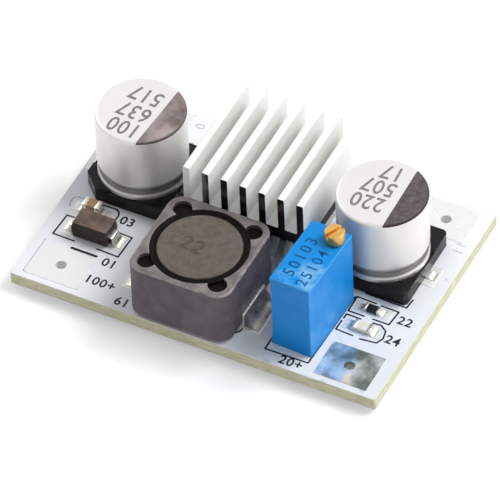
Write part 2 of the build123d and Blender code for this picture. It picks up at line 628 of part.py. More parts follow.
# Trimmer housing: a box open below, with a panel sunk into its left side
ledge_top = potting_top + LEDGE_HEIGHT
pocket_radius = worm_outer_radius + POCKET_CLEARANCE
with BuildPart() as housing:
    with BuildSketch(trimmer):
        Rectangle(TRIMMER_WIDTH, TRIMMER_LENGTH, align=Align.MIN)
    extrude(amount=TRIMMER_HEIGHT)
    chamfer(housing.edges().filter_by(Axis.Z), TRIMMER_EDGE_CHAMFER)
    chamfer(housing.faces().sort_by(Axis.Z)[-1].edges(), TRIMMER_EDGE_CHAMFER)
    # The sunk panel, with the foot below it flaring out again
    with BuildSketch(Plane(origin=trimmer.origin, x_dir=trimmer.x_dir, z_dir=-trimmer.y_dir)):
        with BuildLine():
            Polyline((0, TRIMMER_FOOT_HEIGHT),
                     (TRIMMER_PANEL_DEPTH, TRIMMER_FOOT_HEIGHT + TRIMMER_FOOT_FLARE),
                     (TRIMMER_PANEL_DEPTH, TRIMMER_HEIGHT - TRIMMER_RIM_HEIGHT),
                     (0, TRIMMER_HEIGHT - TRIMMER_RIM_HEIGHT), close=True)
        make_face()
    extrude(amount=-TRIMMER_LENGTH, mode=Mode.SUBTRACT)
    # The cavity, then the ledge that carries the screw's lower end
    with BuildSketch(trimmer_level(TRIMMER_WALL, TRIMMER_WALL, 0)):
        Rectangle(cavity_width, cavity_length, align=Align.MIN)
    extrude(amount=cavity_roof, mode=Mode.SUBTRACT)
    with BuildSketch(trimmer_level(screw_x - LEDGE_SIDE / 2, screw_y - LEDGE_SIDE / 2, potting_top)):
        Rectangle(TRIMMER_WIDTH - TRIMMER_WALL / 2 - screw_x + LEDGE_SIDE / 2,
                  TRIMMER_LENGTH - TRIMMER_WALL / 2 - screw_y + LEDGE_SIDE / 2, align=Align.MIN)
    extrude(amount=LEDGE_HEIGHT)
    with BuildSketch(trimmer_level(screw_x, screw_y, ledge_top)):
        Circle(pocket_radius)
    extrude(amount=cavity_roof - ledge_top, mode=Mode.SUBTRACT)
    # The pivot hole, the seal's seat and the neck's hole through the roof
    with BuildSketch(trimmer_level(screw_x, screw_y, ledge_top)):
        Circle(SCREW_PIVOT_RADIUS + RUNNING_CLEARANCE)
    extrude(amount=-SCREW_PIVOT_LENGTH - RUNNING_CLEARANCE, mode=Mode.SUBTRACT)
    with BuildSketch(trimmer_level(screw_x, screw_y, cavity_roof)):
        Circle(seal_bore_radius)
    extrude(amount=SEAL_SEAT_DEPTH, mode=Mode.SUBTRACT)
    with BuildSketch(trimmer_level(screw_x, screw_y, cavity_roof)):
        Circle(SCREW_NECK_RADIUS + RUNNING_CLEARANCE)
    extrude(amount=TRIMMER_ROOF, mode=Mode.SUBTRACT)
    # The blind bearing for the rotor's right stub
    with BuildSketch(trimmer_side(gear_left + GEAR_FACE_WIDTH, gear_y, gear_height)):
        Circle(ROTOR_STUB_RADIUS + RUNNING_CLEARANCE)
    extrude(amount=ROTOR_STUB_LENGTH + RUNNING_CLEARANCE, mode=Mode.SUBTRACT)
save(housing, "trimmer_housing")

# Epoxy that closes the housing's open underside round the three pins
with BuildPart() as potting:
    with BuildSketch(trimmer_level(TRIMMER_WALL, TRIMMER_WALL, POTTING_RECESS)):
        Rectangle(cavity_width, cavity_length, align=Align.MIN)
    extrude(amount=POTTING_DEPTH)
    with BuildSketch(trimmer_level(0, 0, POTTING_RECESS)):
        with Locations(*pin_spots):
            Circle(PIN_RADIUS + PIN_FIT)
    extrude(amount=POTTING_DEPTH, mode=Mode.SUBTRACT)
save(potting, "trimmer_potting")

# Three straight pins, from the resistance element down through the board
pin_bottom = -BOARD_THICKNESS - PIN_TAIL
with BuildPart() as pins:
    with BuildSketch(trimmer_level(0, 0, pin_bottom)):
        with Locations(*pin_spots):
            Circle(PIN_RADIUS)
    extrude(amount=PIN_TOP - pin_bottom)
save(pins, "trimmer_pins")

# Solder joints: the filled hole and a cone under the board, one for each pin
joint_inner = PIN_RADIUS + PIN_FIT
joint_outer = PIN_HOLE_RADIUS - PIN_FIT
joint_tip = -COPPER - JOINT_HEIGHT
with BuildPart() as pin_solder:
    for x, y in pin_spots:
        axis_point = trimmer.from_local_coords(Vector(x, y, 0))
        with BuildSketch(upright(axis_point.X, axis_point.Y, board_bottom)):
            with BuildLine():
                Polyline((joint_inner, joint_tip), (joint_inner, BOARD_THICKNESS),
                         (joint_outer, BOARD_THICKNESS), (joint_outer, -COPPER),
                         (JOINT_RADIUS, -COPPER), (JOINT_TIP_RADIUS, joint_tip), close=True)
            make_face()
        revolve(axis=Axis((axis_point.X, axis_point.Y, 0), (0, 0, 1)))
save(pin_solder, "pin_solder")

# Ceramic element against the left wall, with a bearing hole, and its printed resistance track
with BuildPart() as element:
    with BuildSketch(trimmer_side(TRIMMER_WALL, TRIMMER_WALL + ELEMENT_MARGIN, potting_top)):
        Rectangle(cavity_length - 2 * ELEMENT_MARGIN, cavity_roof - potting_top - ELEMENT_MARGIN,
                  align=Align.MIN)
    extrude(amount=ELEMENT_THICKNESS)
    with BuildSketch(trimmer_side(TRIMMER_WALL, gear_y, gear_height)):
        Circle(ROTOR_STUB_RADIUS + RUNNING_CLEARANCE)
    extrude(amount=ELEMENT_THICKNESS, mode=Mode.SUBTRACT)
save(element, "trimmer_element")

track_radius = WIPER_REACH - WIPER_WIDTH / 2
half_gap = radians(TRACK_GAP_ANGLE / 2)
gap_x = 2 * WIPER_REACH * sin(half_gap)
gap_y = -2 * WIPER_REACH * cos(half_gap)
with BuildPart() as track:
    with BuildSketch(trimmer_side(element_face, gear_y, gear_height)):
        Circle(track_radius + TRACK_WIDTH / 2)
        Circle(track_radius - TRACK_WIDTH / 2, mode=Mode.SUBTRACT)
        with BuildLine():
            Polyline((0, 0), (gap_x, gap_y), (-gap_x, gap_y), close=True)
        make_face(mode=Mode.SUBTRACT)
    extrude(amount=TRACK_THICKNESS)
save(track, "trimmer_track")


# Worm drive: both members share one tooth thickness at the pitch line
pressure_angle = radians(GEAR_PRESSURE_ANGLE)
tooth_thickness = thread_pitch / 2 - GEAR_BACKLASH


def involute(angle):
    """The involute function, for an angle in radians."""
    return tan(angle) - angle


def tooth_half_width(radius):
    """Half the thickness of a wheel tooth at a radius, by the involute of its base circle."""
    base_radius = gear_radius * cos(pressure_angle)
    angle = acos(min(1.0, base_radius / radius))
    half_angle = tooth_thickness / (2 * gear_radius) + involute(pressure_angle) - involute(angle)
    return radius * half_angle


# Rotor: the toothed wheel, its hub and two stubs that turn in the housing and the element
stub_right = gear_left + GEAR_FACE_WIDTH + ROTOR_STUB_LENGTH
tooth_radii = [gear_root - RUNNING_CLEARANCE, gear_root + RUNNING_CLEARANCE, gear_radius, gear_tip]
with BuildPart() as rotor:
    with BuildSketch(trimmer_side(gear_left, gear_y, gear_height)):
        Circle(gear_root)
        with PolarLocations(0, GEAR_TEETH):
            right_flank = [(radius, -tooth_half_width(radius)) for radius in tooth_radii]
            left_flank = [(radius, tooth_half_width(radius)) for radius in reversed(tooth_radii)]
            Polygon(*right_flank, *left_flank, align=None)
    extrude(amount=GEAR_FACE_WIDTH)
    with BuildSketch(trimmer_side(gear_left, gear_y, gear_height)):
        Circle(ROTOR_HUB_RADIUS)
    extrude(amount=-ROTOR_HUB_LENGTH)
    with BuildSketch(trimmer_side(TRIMMER_WALL + ROTOR_END_GAP, gear_y, gear_height)):
        Circle(ROTOR_STUB_RADIUS)
    extrude(amount=stub_right - TRIMMER_WALL - ROTOR_END_GAP)
save(rotor, "trimmer_rotor")

# Wiper: a leaf on the hub's face with two raised contacts that sweep the track
wiper_left = hub_left - WIPER_THICKNESS
contact_left = element_face + TRACK_THICKNESS + WIPER_LIFT
with BuildPart() as wiper:
    with BuildSketch(trimmer_side(wiper_left, gear_y, gear_height)):
        SlotOverall(2 * WIPER_REACH, WIPER_WIDTH, rotation=90)
        Circle(WIPER_RING_RADIUS)
        Circle(ROTOR_STUB_RADIUS + RUNNING_CLEARANCE, mode=Mode.SUBTRACT)
    extrude(amount=WIPER_THICKNESS)
    with BuildSketch(trimmer_side(contact_left, gear_y, gear_height)):
        with Locations((0, track_radius), (0, -track_radius)):
            Circle(WIPER_CONTACT_RADIUS)
    extrude(amount=wiper_left - contact_left)
save(wiper, "trimmer_wiper")

# Adjusting screw: slotted head, sealed neck, collar, worm thread and lower pivot
head_bottom = TRIMMER_HEIGHT + SCREW_HEAD_GAP
head_top = head_bottom + SCREW_HEAD_HEIGHT
collar_top = cavity_roof - RUNNING_CLEARANCE
core_bottom = ledge_top + RUNNING_CLEARANCE
with BuildPart() as screw:
    with BuildSketch(trimmer_level(screw_x, screw_y, core_bottom)):
        Circle(worm_core_radius)
    extrude(amount=collar_top - core_bottom)
    with BuildSketch(trimmer_level(screw_x, screw_y, core_bottom)):
        Circle(SCREW_PIVOT_RADIUS)
    extrude(amount=-SCREW_PIVOT_LENGTH)
    with BuildSketch(trimmer_level(screw_x, screw_y, collar_top - SCREW_COLLAR_HEIGHT)):
        Circle(SCREW_COLLAR_RADIUS)
    extrude(amount=SCREW_COLLAR_HEIGHT)
    with BuildSketch(trimmer_level(screw_x, screw_y, collar_top)):
        Circle(SCREW_NECK_RADIUS)
    extrude(amount=head_bottom - collar_top)
    with BuildSketch(trimmer_level(screw_x, screw_y, head_bottom)):
        Circle(SCREW_HEAD_RADIUS)
    extrude(amount=SCREW_HEAD_HEIGHT)
    chamfer(screw.faces().sort_by(Axis.Z)[-1].edges(), SCREW_HEAD_CHAMFER)
    with BuildSketch(trimmer_level(screw_x, screw_y, head_top)):
        Rectangle(2 * SCREW_HEAD_RADIUS + SCREW_SLOT_WIDTH, SCREW_SLOT_WIDTH, rotation=SCREW_SLOT_ANGLE)
    extrude(amount=-SCREW_SLOT_DEPTH, mode=Mode.SUBTRACT)
    # The thread: one tooth section swept along a helix on the core
    with BuildLine(trimmer_level(screw_x, screw_y, worm_bottom)) as thread_path:
        Helix(thread_pitch, WORM_TURNS * thread_pitch, worm_core_radius)
    start = thread_path.line @ 0
    outward = start - trimmer.from_local_coords(Vector(screw_x, screw_y, worm_bottom))
    thread_depth = worm_outer_radius - worm_core_radius
    half_root = tooth_thickness / 2 + GEAR_DEDENDUM * GEAR_MODULE * tan(pressure_angle)
    half_tip = tooth_thickness / 2 - GEAR_ADDENDUM * GEAR_MODULE * tan(pressure_angle)
    with BuildSketch(Plane(origin=start, x_dir=outward, z_dir=thread_path.line % 0)):
        with BuildLine():
            Polyline((-THREAD_BITE, -half_root), (0, -half_root), (thread_depth, -half_tip),
                     (thread_depth, half_tip), (0, half_root), (-THREAD_BITE, half_root), close=True)
        make_face()
    sweep(path=thread_path.line, is_frenet=True)
save(screw, "trimmer_screw")

# Rubber seal ring, square in section, round the screw's neck
with BuildPart() as seal:
    with BuildSketch(trimmer_level(screw_x, screw_y, cavity_roof + SEAL_CLEARANCE)):
        Circle(seal_radius)
        Circle(SCREW_NECK_RADIUS + SEAL_CLEARANCE, mode=Mode.SUBTRACT)
    extrude(amount=SEAL_SECTION)
save(seal, "trimmer_seal")


# Rectifier diode: leads that leave the ends at half height and turn in under the body
diode_bottom = land_top + DIODE_STANDOFF
diode_middle = land_top + DIODE_HEIGHT / 2
diode_lead_x = DIODE_LENGTH / 2 + DIODE_LEAD_OVERHANG
with BuildPart() as diode_leads:
    for side in (-1, 1):
        with BuildSketch(upright(diode_x, diode_y, land_top, side)):
            with BuildLine() as lead_path:
                FilletPolyline(
                    (DIODE_LENGTH / 2 - DIODE_LEAD_INSET, DIODE_HEIGHT / 2),
                    (diode_lead_x, DIODE_HEIGHT / 2),
                    (diode_lead_x, DIODE_LEAD_THICKNESS / 2),
                    (diode_lead_x - DIODE_LEAD_FOOT, DIODE_LEAD_THICKNESS / 2),
                    radius=DIODE_LEAD_THICKNESS,
                )
            trace(lead_path.line, DIODE_LEAD_THICKNESS)
        extrude(amount=DIODE_LEAD_WIDTH / 2, both=True)
save(diode_leads, "diode_leads")

with BuildPart() as diode_body:
    with BuildSketch(Plane(origin=(diode_x, diode_y, diode_middle))):
        Rectangle(DIODE_LENGTH, DIODE_WIDTH)
    extrude(amount=land_top + DIODE_HEIGHT - diode_middle, taper=DIODE_DRAFT)
    with BuildSketch(Plane(origin=(diode_x, diode_y, diode_middle), z_dir=(0, 0, -1))):
        Rectangle(DIODE_LENGTH, DIODE_WIDTH)
    extrude(amount=diode_middle - diode_bottom, taper=DIODE_DRAFT)
    add(diode_leads.part, mode=Mode.SUBTRACT)
save(diode_body, "diode_body")


def chip_part_body(size):
    """The plain block of a chip capacitor or resistor."""
    x, y = size["centre"]
    with BuildPart() as block:
        with BuildSketch(Plane(origin=(x, y, land_top + CHIP_PART_SKIN))):
            Rectangle(size["length"] - 2 * CHIP_PART_SKIN, size["width"] - 2 * CHIP_PART_SKIN)
        extrude(amount=size["height"] - 2 * CHIP_PART_SKIN)
    return block


def chip_part_caps(size, block):
    """The two plated end caps that fit over the block."""
    x, y = size["centre"]
    with BuildPart() as caps:
        with BuildSketch(Plane(origin=(x, y, land_top))):
            with GridLocations(size["length"] - size["cap"], 0, 2, 1):
                Rectangle(size["cap"], size["width"])
        extrude(amount=size["height"])
        add(block.part, mode=Mode.SUBTRACT)
    return caps


for name, size in CHIP_PARTS.items():
    block = chip_part_body(size)
    save(block, f"{name}_body")
    save(chip_part_caps(size, block), f"{name}_end_caps")


# Solder fillets: where each starts, the way it runs, its reach and height, and its width
solder = []
for x, y in CAPACITORS.values():
    for side in (-1, 1):
        start = (x + side * capacitor_lead_end, y)
        solder.append((start, (side, 0), CAPACITOR_FILLET, CAPACITOR_LEAD_WIDTH))
for side in (-1, 1):
    start = (inductor_x + side * (INDUCTOR_SIDE / 2 + INDUCTOR_TERMINAL_THICKNESS), inductor_y)
    solder.append((start, (side, 0), INDUCTOR_FILLET, INDUCTOR_TERMINAL_WIDTH))
    start = (diode_x + side * (diode_lead_x + DIODE_LEAD_THICKNESS / 2), diode_y)
    solder.append((start, (side, 0), DIODE_FILLET, DIODE_LEAD_WIDTH))
    for size in CHIP_PARTS.values():
        x, y = size["centre"]
        start = (x + side * size["length"] / 2, y)
        solder.append((start, (side, 0), CHIP_PART_FILLET, size["width"]))
for x in chip_lead_x:
    solder.append(((x, foot_end), (0, -1), CHIP_LEAD_FILLET, CHIP_LEAD_WIDTH))
start = (chip_x, chip_back + CHIP_TAB_OVERHANG)
solder.append((start, (0, 1), CHIP_TAB_FILLET, chip_tab_width))

with BuildPart() as surface_solder:
    for (x, y), (run_x, run_y), (reach, height), width in solder:
        hollow = (reach * FILLET_HOLLOW, height * FILLET_HOLLOW)
        run = Plane(origin=(x, y, land_top), x_dir=(run_x, run_y, 0), z_dir=(run_y, -run_x, 0))
        with BuildSketch(run):
            with BuildLine():
                Polyline((0, height), (0, 0), (reach, 0), (reach, FILLET_TOE))
                ThreePointArc((reach, FILLET_TOE), hollow, (0, height))
            make_face()
        extrude(amount=width / 2, both=True)
save(surface_solder, "surface_solder")
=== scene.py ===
import logging
import math
from collections.abc import Callable, Sequence
from dataclasses import dataclass
from enum import Enum
from functools import cached_property

import bmesh
import bpy
from mathutils import Matrix, Vector


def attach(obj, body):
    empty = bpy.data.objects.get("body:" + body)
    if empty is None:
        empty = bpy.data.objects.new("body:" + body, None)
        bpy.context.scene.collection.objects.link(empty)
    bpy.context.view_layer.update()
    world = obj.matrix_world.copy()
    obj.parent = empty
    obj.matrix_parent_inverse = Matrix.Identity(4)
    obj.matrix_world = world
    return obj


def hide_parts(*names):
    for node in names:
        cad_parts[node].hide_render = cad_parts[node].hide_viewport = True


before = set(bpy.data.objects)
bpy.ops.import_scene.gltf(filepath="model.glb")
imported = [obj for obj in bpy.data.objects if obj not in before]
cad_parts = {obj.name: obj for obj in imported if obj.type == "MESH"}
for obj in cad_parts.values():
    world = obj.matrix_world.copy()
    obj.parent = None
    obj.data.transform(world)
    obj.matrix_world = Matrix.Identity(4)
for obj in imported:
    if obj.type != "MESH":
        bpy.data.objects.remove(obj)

log = logging.getLogger("boost_converter")
MM = 0.001
Mesh = bmesh.types.BMesh
Socket = bpy.types.NodeSocket
Sockets = dict[str, Socket]
Rgb = tuple[float, float, float]
Triple = tuple[float, float, float]
Point = tuple[float, float]
Value = Socket | float | Rgb


# ---- small helpers


def tone(code: str) -> Rgb:
    """Turn a colour's hexadecimal code into a shader's linear values, by the sRGB curve."""
    shares = (level / 255 for level in bytes.fromhex(code))
    return tuple(share / 12.92 if share <= 0.04045 else ((share + 0.055) / 1.055) ** 2.4
                 for share in shares)


class Graph:
    """A short way to write a shader node tree."""

    def __init__(self, tree: bpy.types.NodeTree) -> None:
        """Keep the tree that nodes go into."""
        self.tree = tree

    def add(self, kind: str, inputs: dict | None = None, **settings: object) -> bpy.types.Node:
        """Add a node, set its options and fill or link its inputs.

        Args:
            kind: Blender's name for the node type.
            inputs: Values or output sockets, keyed by the input's name or number.
            settings: The node's own options.

        Returns:
            The new node.
        """
        node = self.tree.nodes.new(kind)
        for name, value in settings.items():
            setattr(node, name, value)
        for key, value in (inputs or {}).items():
            self.feed(node.inputs[key], value)
        return node

    def feed(self, socket: Socket, value: Value) -> None:
        """Link an output to the socket, or set the socket's own value.

        Args:
            socket: The input to fill.
            value: An output socket, a colour, a vector or a number.
        """
        if isinstance(value, Socket):
            self.tree.links.new(value, socket)
        elif isinstance(value, tuple) and len(value) < len(socket.default_value):
            socket.default_value = (*value, 1.0)
        else:
            socket.default_value = value

    def place(self) -> Socket:
        """Return the position on the object, in metres."""
        return self.add("ShaderNodeTexCoord").outputs["Object"]

    def part(self, vector: Socket, axis: int) -> Socket:
        """Return one part of a vector: 0 for X, 1 for Y, 2 for Z."""
        return self.add("ShaderNodeSeparateXYZ", {0: vector}).outputs[axis]

    def along(self, axis: int) -> Socket:
        """Return the position along one axis, in metres."""
        return self.part(self.place(), axis)

    def facing(self, axis: int) -> Socket:
        """Return how squarely a face looks along one axis, -1 to 1."""
        return self.part(self.add("ShaderNodeNewGeometry").outputs["True Normal"], axis)

    def noise(self, scale: Value, detail: float = 3.0, at: Socket | None = None) -> Socket:
        """Return soft noise from 0 to 1, with so many cells in a metre and octaves."""
        inputs = {"Vector": at or self.place(), "Scale": scale, "Detail": detail}
        return self.add("ShaderNodeTexNoise", inputs).outputs[0]

    def remap(self, value: Socket, low: Value, high: Value, to_low: float = 0.0,
              to_high: float = 1.0) -> Socket:
        """Stretch a value from one range to another, clamp it and return it."""
        inputs = {0: value, 1: low, 2: high, 3: to_low, 4: to_high}
        return self.add("ShaderNodeMapRange", inputs).outputs[0]

    def fall(self, value: Socket, low: Value, high: Value) -> Socket:
        """Return 1 where the value is under low, 0 where it is over high."""
        return self.remap(value, low, high, 1.0, 0.0)

    def math(self, how: str, first: Value, second: Value = 0.0) -> Socket:
        """Return a sum, product or comparison of two values."""
        return self.add("ShaderNodeMath", {0: first, 1: second}, operation=how).outputs[0]

    def product(self, first: Value, *others: Value) -> Socket:
        """Return the product of two or more values."""
        for other in others:
            first = self.math("MULTIPLY", first, other)
        return first

    def lerp(self, share: Value, first: Value, second: Value) -> Socket:
        """Return a number between two, nearer to the second as the share grows."""
        inputs = {0: share, 2: first, 3: second}
        return self.add("ShaderNodeMix", inputs, data_type="FLOAT").outputs[0]

    def blend(self, share: Value, first: Value, second: Value) -> Socket:
        """Return a colour between two, nearer to the second as the share grows."""
        inputs = {0: share, 6: first, 7: second}
        return self.add("ShaderNodeMix", inputs, data_type="RGBA").outputs[2]

    def seen(self) -> Socket:
        """Return 1 where a surface is seen, mirrored or seen through, and 0 elsewhere."""
        paths = self.add("ShaderNodeLightPath").outputs
        mirrored = self.math("MAXIMUM", paths["Is Glossy Ray"], paths["Is Transmission Ray"])
        return self.math("MAXIMUM", paths["Is Camera Ray"], mirrored)


# ---- shared effects


GREY = (0.5, 0.5, 0.5)       # stands in where a colour is always fed
SOCKETS = ("NodeSocketFloat", "NodeSocketColor")
GRAIN_SPOT = (0.25, 0.5)     # where a grain of another colour fades out, cells
ROUNDED = (0.9, 0.97)        # a normal's largest part, on a rounded edge and on a flat face
WORN_HIGHLIGHT_SCALE = 900.0
WORN_HIGHLIGHT_LEVELS = (0.3, 0.6, 0.45, 1.0)       # noise levels, and the share of worn edge with painted highlight that each leaves
BROAD_GRAIN = 0.12           # scale of a grain's broad waves against its own
LINE_LEVELS = (0.35, 0.65)   # noise levels between two drawn lines


@dataclass(frozen=True)
class Effect:
    """A surface effect that several finishes share, built once as a node group."""

    name: str
    inputs: dict[str, float | Rgb]
    fill: Callable[[Graph, Sockets], Sockets]

    @cached_property
    def tree(self) -> bpy.types.NodeTree:
        """Build the group; its colours are the inputs that are triples, and Color."""
        tree = bpy.data.node_groups.new(self.name, "ShaderNodeTree")
        graph = Graph(tree)
        for label, value in self.inputs.items():
            graph.feed(tree.interface.new_socket(
                label, in_out="INPUT", socket_type=SOCKETS[isinstance(value, tuple)]), value)
        entry = graph.add("NodeGroupInput").outputs
        made = self.fill(graph, {label: entry[label] for label in self.inputs})
        for label in made:
            tree.interface.new_socket(label, in_out="OUTPUT",
                                      socket_type=SOCKETS[label == "Color"])
        graph.add("NodeGroupOutput", made)
        return tree

    def put(self, graph: Graph, *values: Value) -> bpy.types.NodeOutputs:
        """Place the group, feed its inputs in their order, and return its outputs."""
        inputs = dict(zip(self.inputs, values))
        return graph.add("ShaderNodeGroup", inputs, node_tree=self.tree).outputs


def fill_mottle(graph: Graph, given: Sockets) -> Sockets:
    """Drift one colour towards another in soft patches."""
    low = graph.math("SUBTRACT", 0.5, given["Softness"])
    high = graph.math("ADD", 0.5, given["Softness"])
    mask = graph.remap(graph.noise(given["Scale"], detail=4.0), low, high)
    share = graph.product(mask, given["Amount"])
    return {"Color": graph.blend(share, given["Color"], given["Other"]), "Mask": mask}


def fill_specks(graph: Graph, given: Sockets) -> Sockets:
    """Scatter small grains of another colour."""
    cells = graph.add("ShaderNodeTexVoronoi",
                      {"Vector": graph.place(), "Scale": given["Scale"]}).outputs
    pick = graph.add("ShaderNodeSeparateColor", {0: cells["Color"]}).outputs[0]
    chosen = graph.math("LESS_THAN", pick, given["Share"])
    mask = graph.product(chosen, graph.fall(cells["Distance"], *GRAIN_SPOT))
    return {"Color": graph.blend(mask, given["Color"], given["Speck"])}


def fill_worn_and_highlighted_edges(graph: Graph, given: Sockets) -> Sockets:
    """Lighten the rounded edges of a square form, broken by noise: wear with a painted highlight.
    """
    x, y, z = (graph.math("ABSOLUTE", graph.facing(axis)) for axis in range(3))
    edge = graph.fall(graph.math("MAXIMUM", x, graph.math("MAXIMUM", y, z)), *ROUNDED)
    broken = graph.remap(graph.noise(WORN_HIGHLIGHT_SCALE), *WORN_HIGHLIGHT_LEVELS)
    share = graph.product(edge, broken, given["Amount"])
    return {"Color": graph.blend(share, given["Color"], given["Edge"])}


def fill_grain(graph: Graph, given: Sockets) -> Sockets:
    """Give the height of a fine, uneven surface."""
    fine = graph.noise(given["Scale"], detail=5.0)
    broad = graph.noise(graph.product(given["Scale"], BROAD_GRAIN), detail=2.0)
    return {"Height": graph.math("ADD", fine, graph.product(broad, given["Wave"]))}


def fill_drawn(graph: Graph, given: Sockets) -> Sockets:
    """Give the height of fine parallel lines, as drawing or brushing leaves them."""
    parts = {axis: graph.product(graph.along(axis), scale)
             for axis, scale in enumerate(given.values())}
    lines = graph.noise(1.0, at=graph.add("ShaderNodeCombineXYZ", parts).outputs[0])
    return {"Height": lines, "Mask": graph.remap(lines, *LINE_LEVELS)}


MOTTLE = Effect("mottle", {"Color": GREY, "Other": GREY, "Scale": 400.0, "Amount": 0.5,
                           "Softness": 0.2}, fill_mottle)
SPECKS = Effect("specks", {"Color": GREY, "Speck": GREY, "Scale": 4000.0, "Share": 0.2},
                fill_specks)
WORN_AND_HIGHLIGHTED_EDGES = Effect("worn_and_highlighted_edges", {"Color": GREY, "Edge": GREY, "Amount": 0.6},
                    fill_worn_and_highlighted_edges)
GRAIN = Effect("grain", {"Scale": 3000.0, "Wave": 1.0}, fill_grain)
DRAWN = Effect("drawn_lines", {"X": 4000.0, "Y": 4000.0, "Z": 200.0}, fill_drawn)


# ---- finishes


class Surface(Graph):
    """A new material's tree, with its shader."""

    def __init__(self, name: str) -> None:
        """Make the material."""
        self.material = bpy.data.materials.new(name)
        self.material.use_nodes = True
        super().__init__(self.material.node_tree)
        self.shader = self.tree.nodes["Principled BSDF"].inputs

    def shade(self, inputs: dict[str, Value]) -> None:
        """Feed the shader's inputs, by name."""
        for name, value in inputs.items():
            self.feed(self.shader[name], value)

    def lay(self, mask: Socket, color: Value, **levels: float) -> None:
        """Lay another surface over the shader's own.

        Args:
            mask: Where it lies, 0 to 1.
            color: Its colour.
            levels: Its Roughness or Metallic.
        """
        under = self.shader["Base Color"]
        self.feed(under, self.blend(mask, under.links[0].from_socket, color))
        for name, level in levels.items():
            under = self.shader[name]
            first = under.links[0].from_socket if under.links else under.default_value
            self.feed(under, self.lerp(mask, first, level))


@dataclass(frozen=True)
class Finish:
    """A finish: its colours, its gloss and the detail that its surface shows.

    Sizes of patches, specks, lines and grain are cells in a metre; depth is in mm.
    """

    name: str
    color: Rgb
    other: Rgb
    roughness: float
    metallic: float = 0.0
    patch: float = 500.0
    softness: float = 0.2
    drift: float = 0.5
    rough_drift: float = 0.05
    specks: tuple[Rgb, float, float] | None = None     # colour, scale and share
    # lighter rounded edges: wear with a painted highlight
    edges: tuple[Rgb, float] | None = None             # colour and amount
    lines: Triple | None = None
    grain: float = 3000.0
    wave: float = 1.0
    bump: float = 0.1
    depth: float = 0.02
    specular: float = 0.5

    def extras(self, graph: Surface) -> None:
        """Add what one kind of finish has beyond the others; a plain one adds nothing."""

    @cached_property
    def material(self) -> bpy.types.Material:
        """Build the material."""
        graph = Surface(self.name)
        patches = MOTTLE.put(graph, self.color, self.other, self.patch, self.drift,
                             self.softness)
        color = patches["Color"]
        if self.specks:
            color = SPECKS.put(graph, color, *self.specks)["Color"]
        # painted highlight with wear on the rounded edges
        if self.edges:
            color = WORN_AND_HIGHLIGHTED_EDGES.put(graph, color, *self.edges)["Color"]
        rough = graph.remap(patches["Mask"], 0.0, 1.0, self.roughness - self.rough_drift,
                              self.roughness + self.rough_drift)
        height = (DRAWN.put(graph, *self.lines) if self.lines
                  else GRAIN.put(graph, self.grain, self.wave))["Height"]
        bump = graph.add("ShaderNodeBump", {"Strength": self.bump, "Height": height,
                                              "Distance": self.depth * MM})
        graph.shade({"Base Color": color, "Roughness": rough, "Metallic": self.metallic,
                       "Specular IOR Level": self.specular, "Normal": bump.outputs[0]})
        self.extras(graph)
        graph.material.diffuse_color = (*self.color, 1.0)
        return graph.material


@dataclass(frozen=True)
class BoardFinish(Finish):
    """White solder mask on both faces, and cut glass laminate round the edge."""

    laminate: Rgb = tone("bab892")
    laminate_pale: Rgb = tone("e8e5ca")
    mask_top: float = 2.2 * MM
    mask_bottom: float = 0.7 * MM
    mask_edge: float = 0.03 * MM
    ply: float = 0.2 * MM
    ply_amount: float = 0.12
    fibre: Triple = (900.0, 900.0, 6000.0)
    fibre_amounts: Point = (0.2, 0.75)
    cut_roughness: float = 0.65

    def extras(self, graph: Surface) -> None:
        """Show the laminate's plies where the edge is cut.

        Args:
            graph: The material's tree.
        """
        height = graph.along(2)
        cut = graph.product(
            graph.fall(height, self.mask_top - self.mask_edge, self.mask_top),
            graph.remap(height, self.mask_bottom, self.mask_bottom + self.mask_edge))
        plies = graph.math("SINE", graph.product(height, 2 * math.pi / self.ply))
        fibre = DRAWN.put(graph, *self.fibre)["Mask"]
        share = graph.math("ADD", graph.product(plies, self.ply_amount),
                             graph.remap(fibre, 0.0, 1.0, *self.fibre_amounts))
        side = graph.blend(share, self.laminate, self.laminate_pale)
        graph.lay(cut, side, Roughness=self.cut_roughness)


FLAT_FACE = (0.86, 0.96)     # a normal's part along the axis that its face looks along
FACE_ROUNDING = (0.15, 0.4)  # the same on the rounding beside that face
WORN_RIM_HIGHLIGHT_SCALE = 1200.0
WORN_RIM_HIGHLIGHT_LEVELS = (0.35, 0.6, 0.3, 1.0)        # noise levels, and the rim that each leaves


@dataclass(frozen=True)
class FacetFinish(Finish):
    """A finish whose faces across one axis get another colour and gloss: painted light and shade,
    as on lit tops and dark fin ends.

    fade gives two places on X, in metres, between which that painted colour comes in; before the
    first the faces stay pale, which is painted light.
    """

    axis: int = 2
    facet: Rgb = GREY
    facet_other: Rgb = GREY
    facet_roughness: float = 0.45
    facet_metallic: float = 0.0
    # lighter rounding beside those faces: wear with a painted highlight
    rim: Rgb | None = None
    fade: Point | None = None

    def extras(self, graph: Surface) -> None:
        """Lay the painted light or shade over the faces that look along the axis, and a painted
        highlight with wear on the rounding beside them.

        Args:
            graph: The material's tree.
        """
        across = graph.math("ABSOLUTE", graph.facing(self.axis))
        mask = graph.remap(across, *FLAT_FACE)
        if self.fade:
            mask = graph.product(mask, graph.remap(graph.along(0), *self.fade))
        if self.rim:
            broken = graph.remap(graph.noise(WORN_RIM_HIGHLIGHT_SCALE), *WORN_RIM_HIGHLIGHT_LEVELS)
            edge = graph.product(graph.remap(across, *FACE_ROUNDING), broken)
            graph.lay(edge, self.rim)
        facet = MOTTLE.put(graph, self.facet, self.facet_other, self.patch, 1.0)["Color"]
        graph.lay(mask, facet, Roughness=self.facet_roughness, Metallic=self.facet_metallic)


RAGGED = 0.15                # how ragged the edge of the painted light round a spot is, of its reach
RAGGED_SCALE = 420.0
RAGGED_LEVELS = (0.3, 0.7)
PAINTED_LEVELS = (0.36, 0.64)
LEVEL_TOP = (0.8, 0.95)      # a normal's Z on a level top


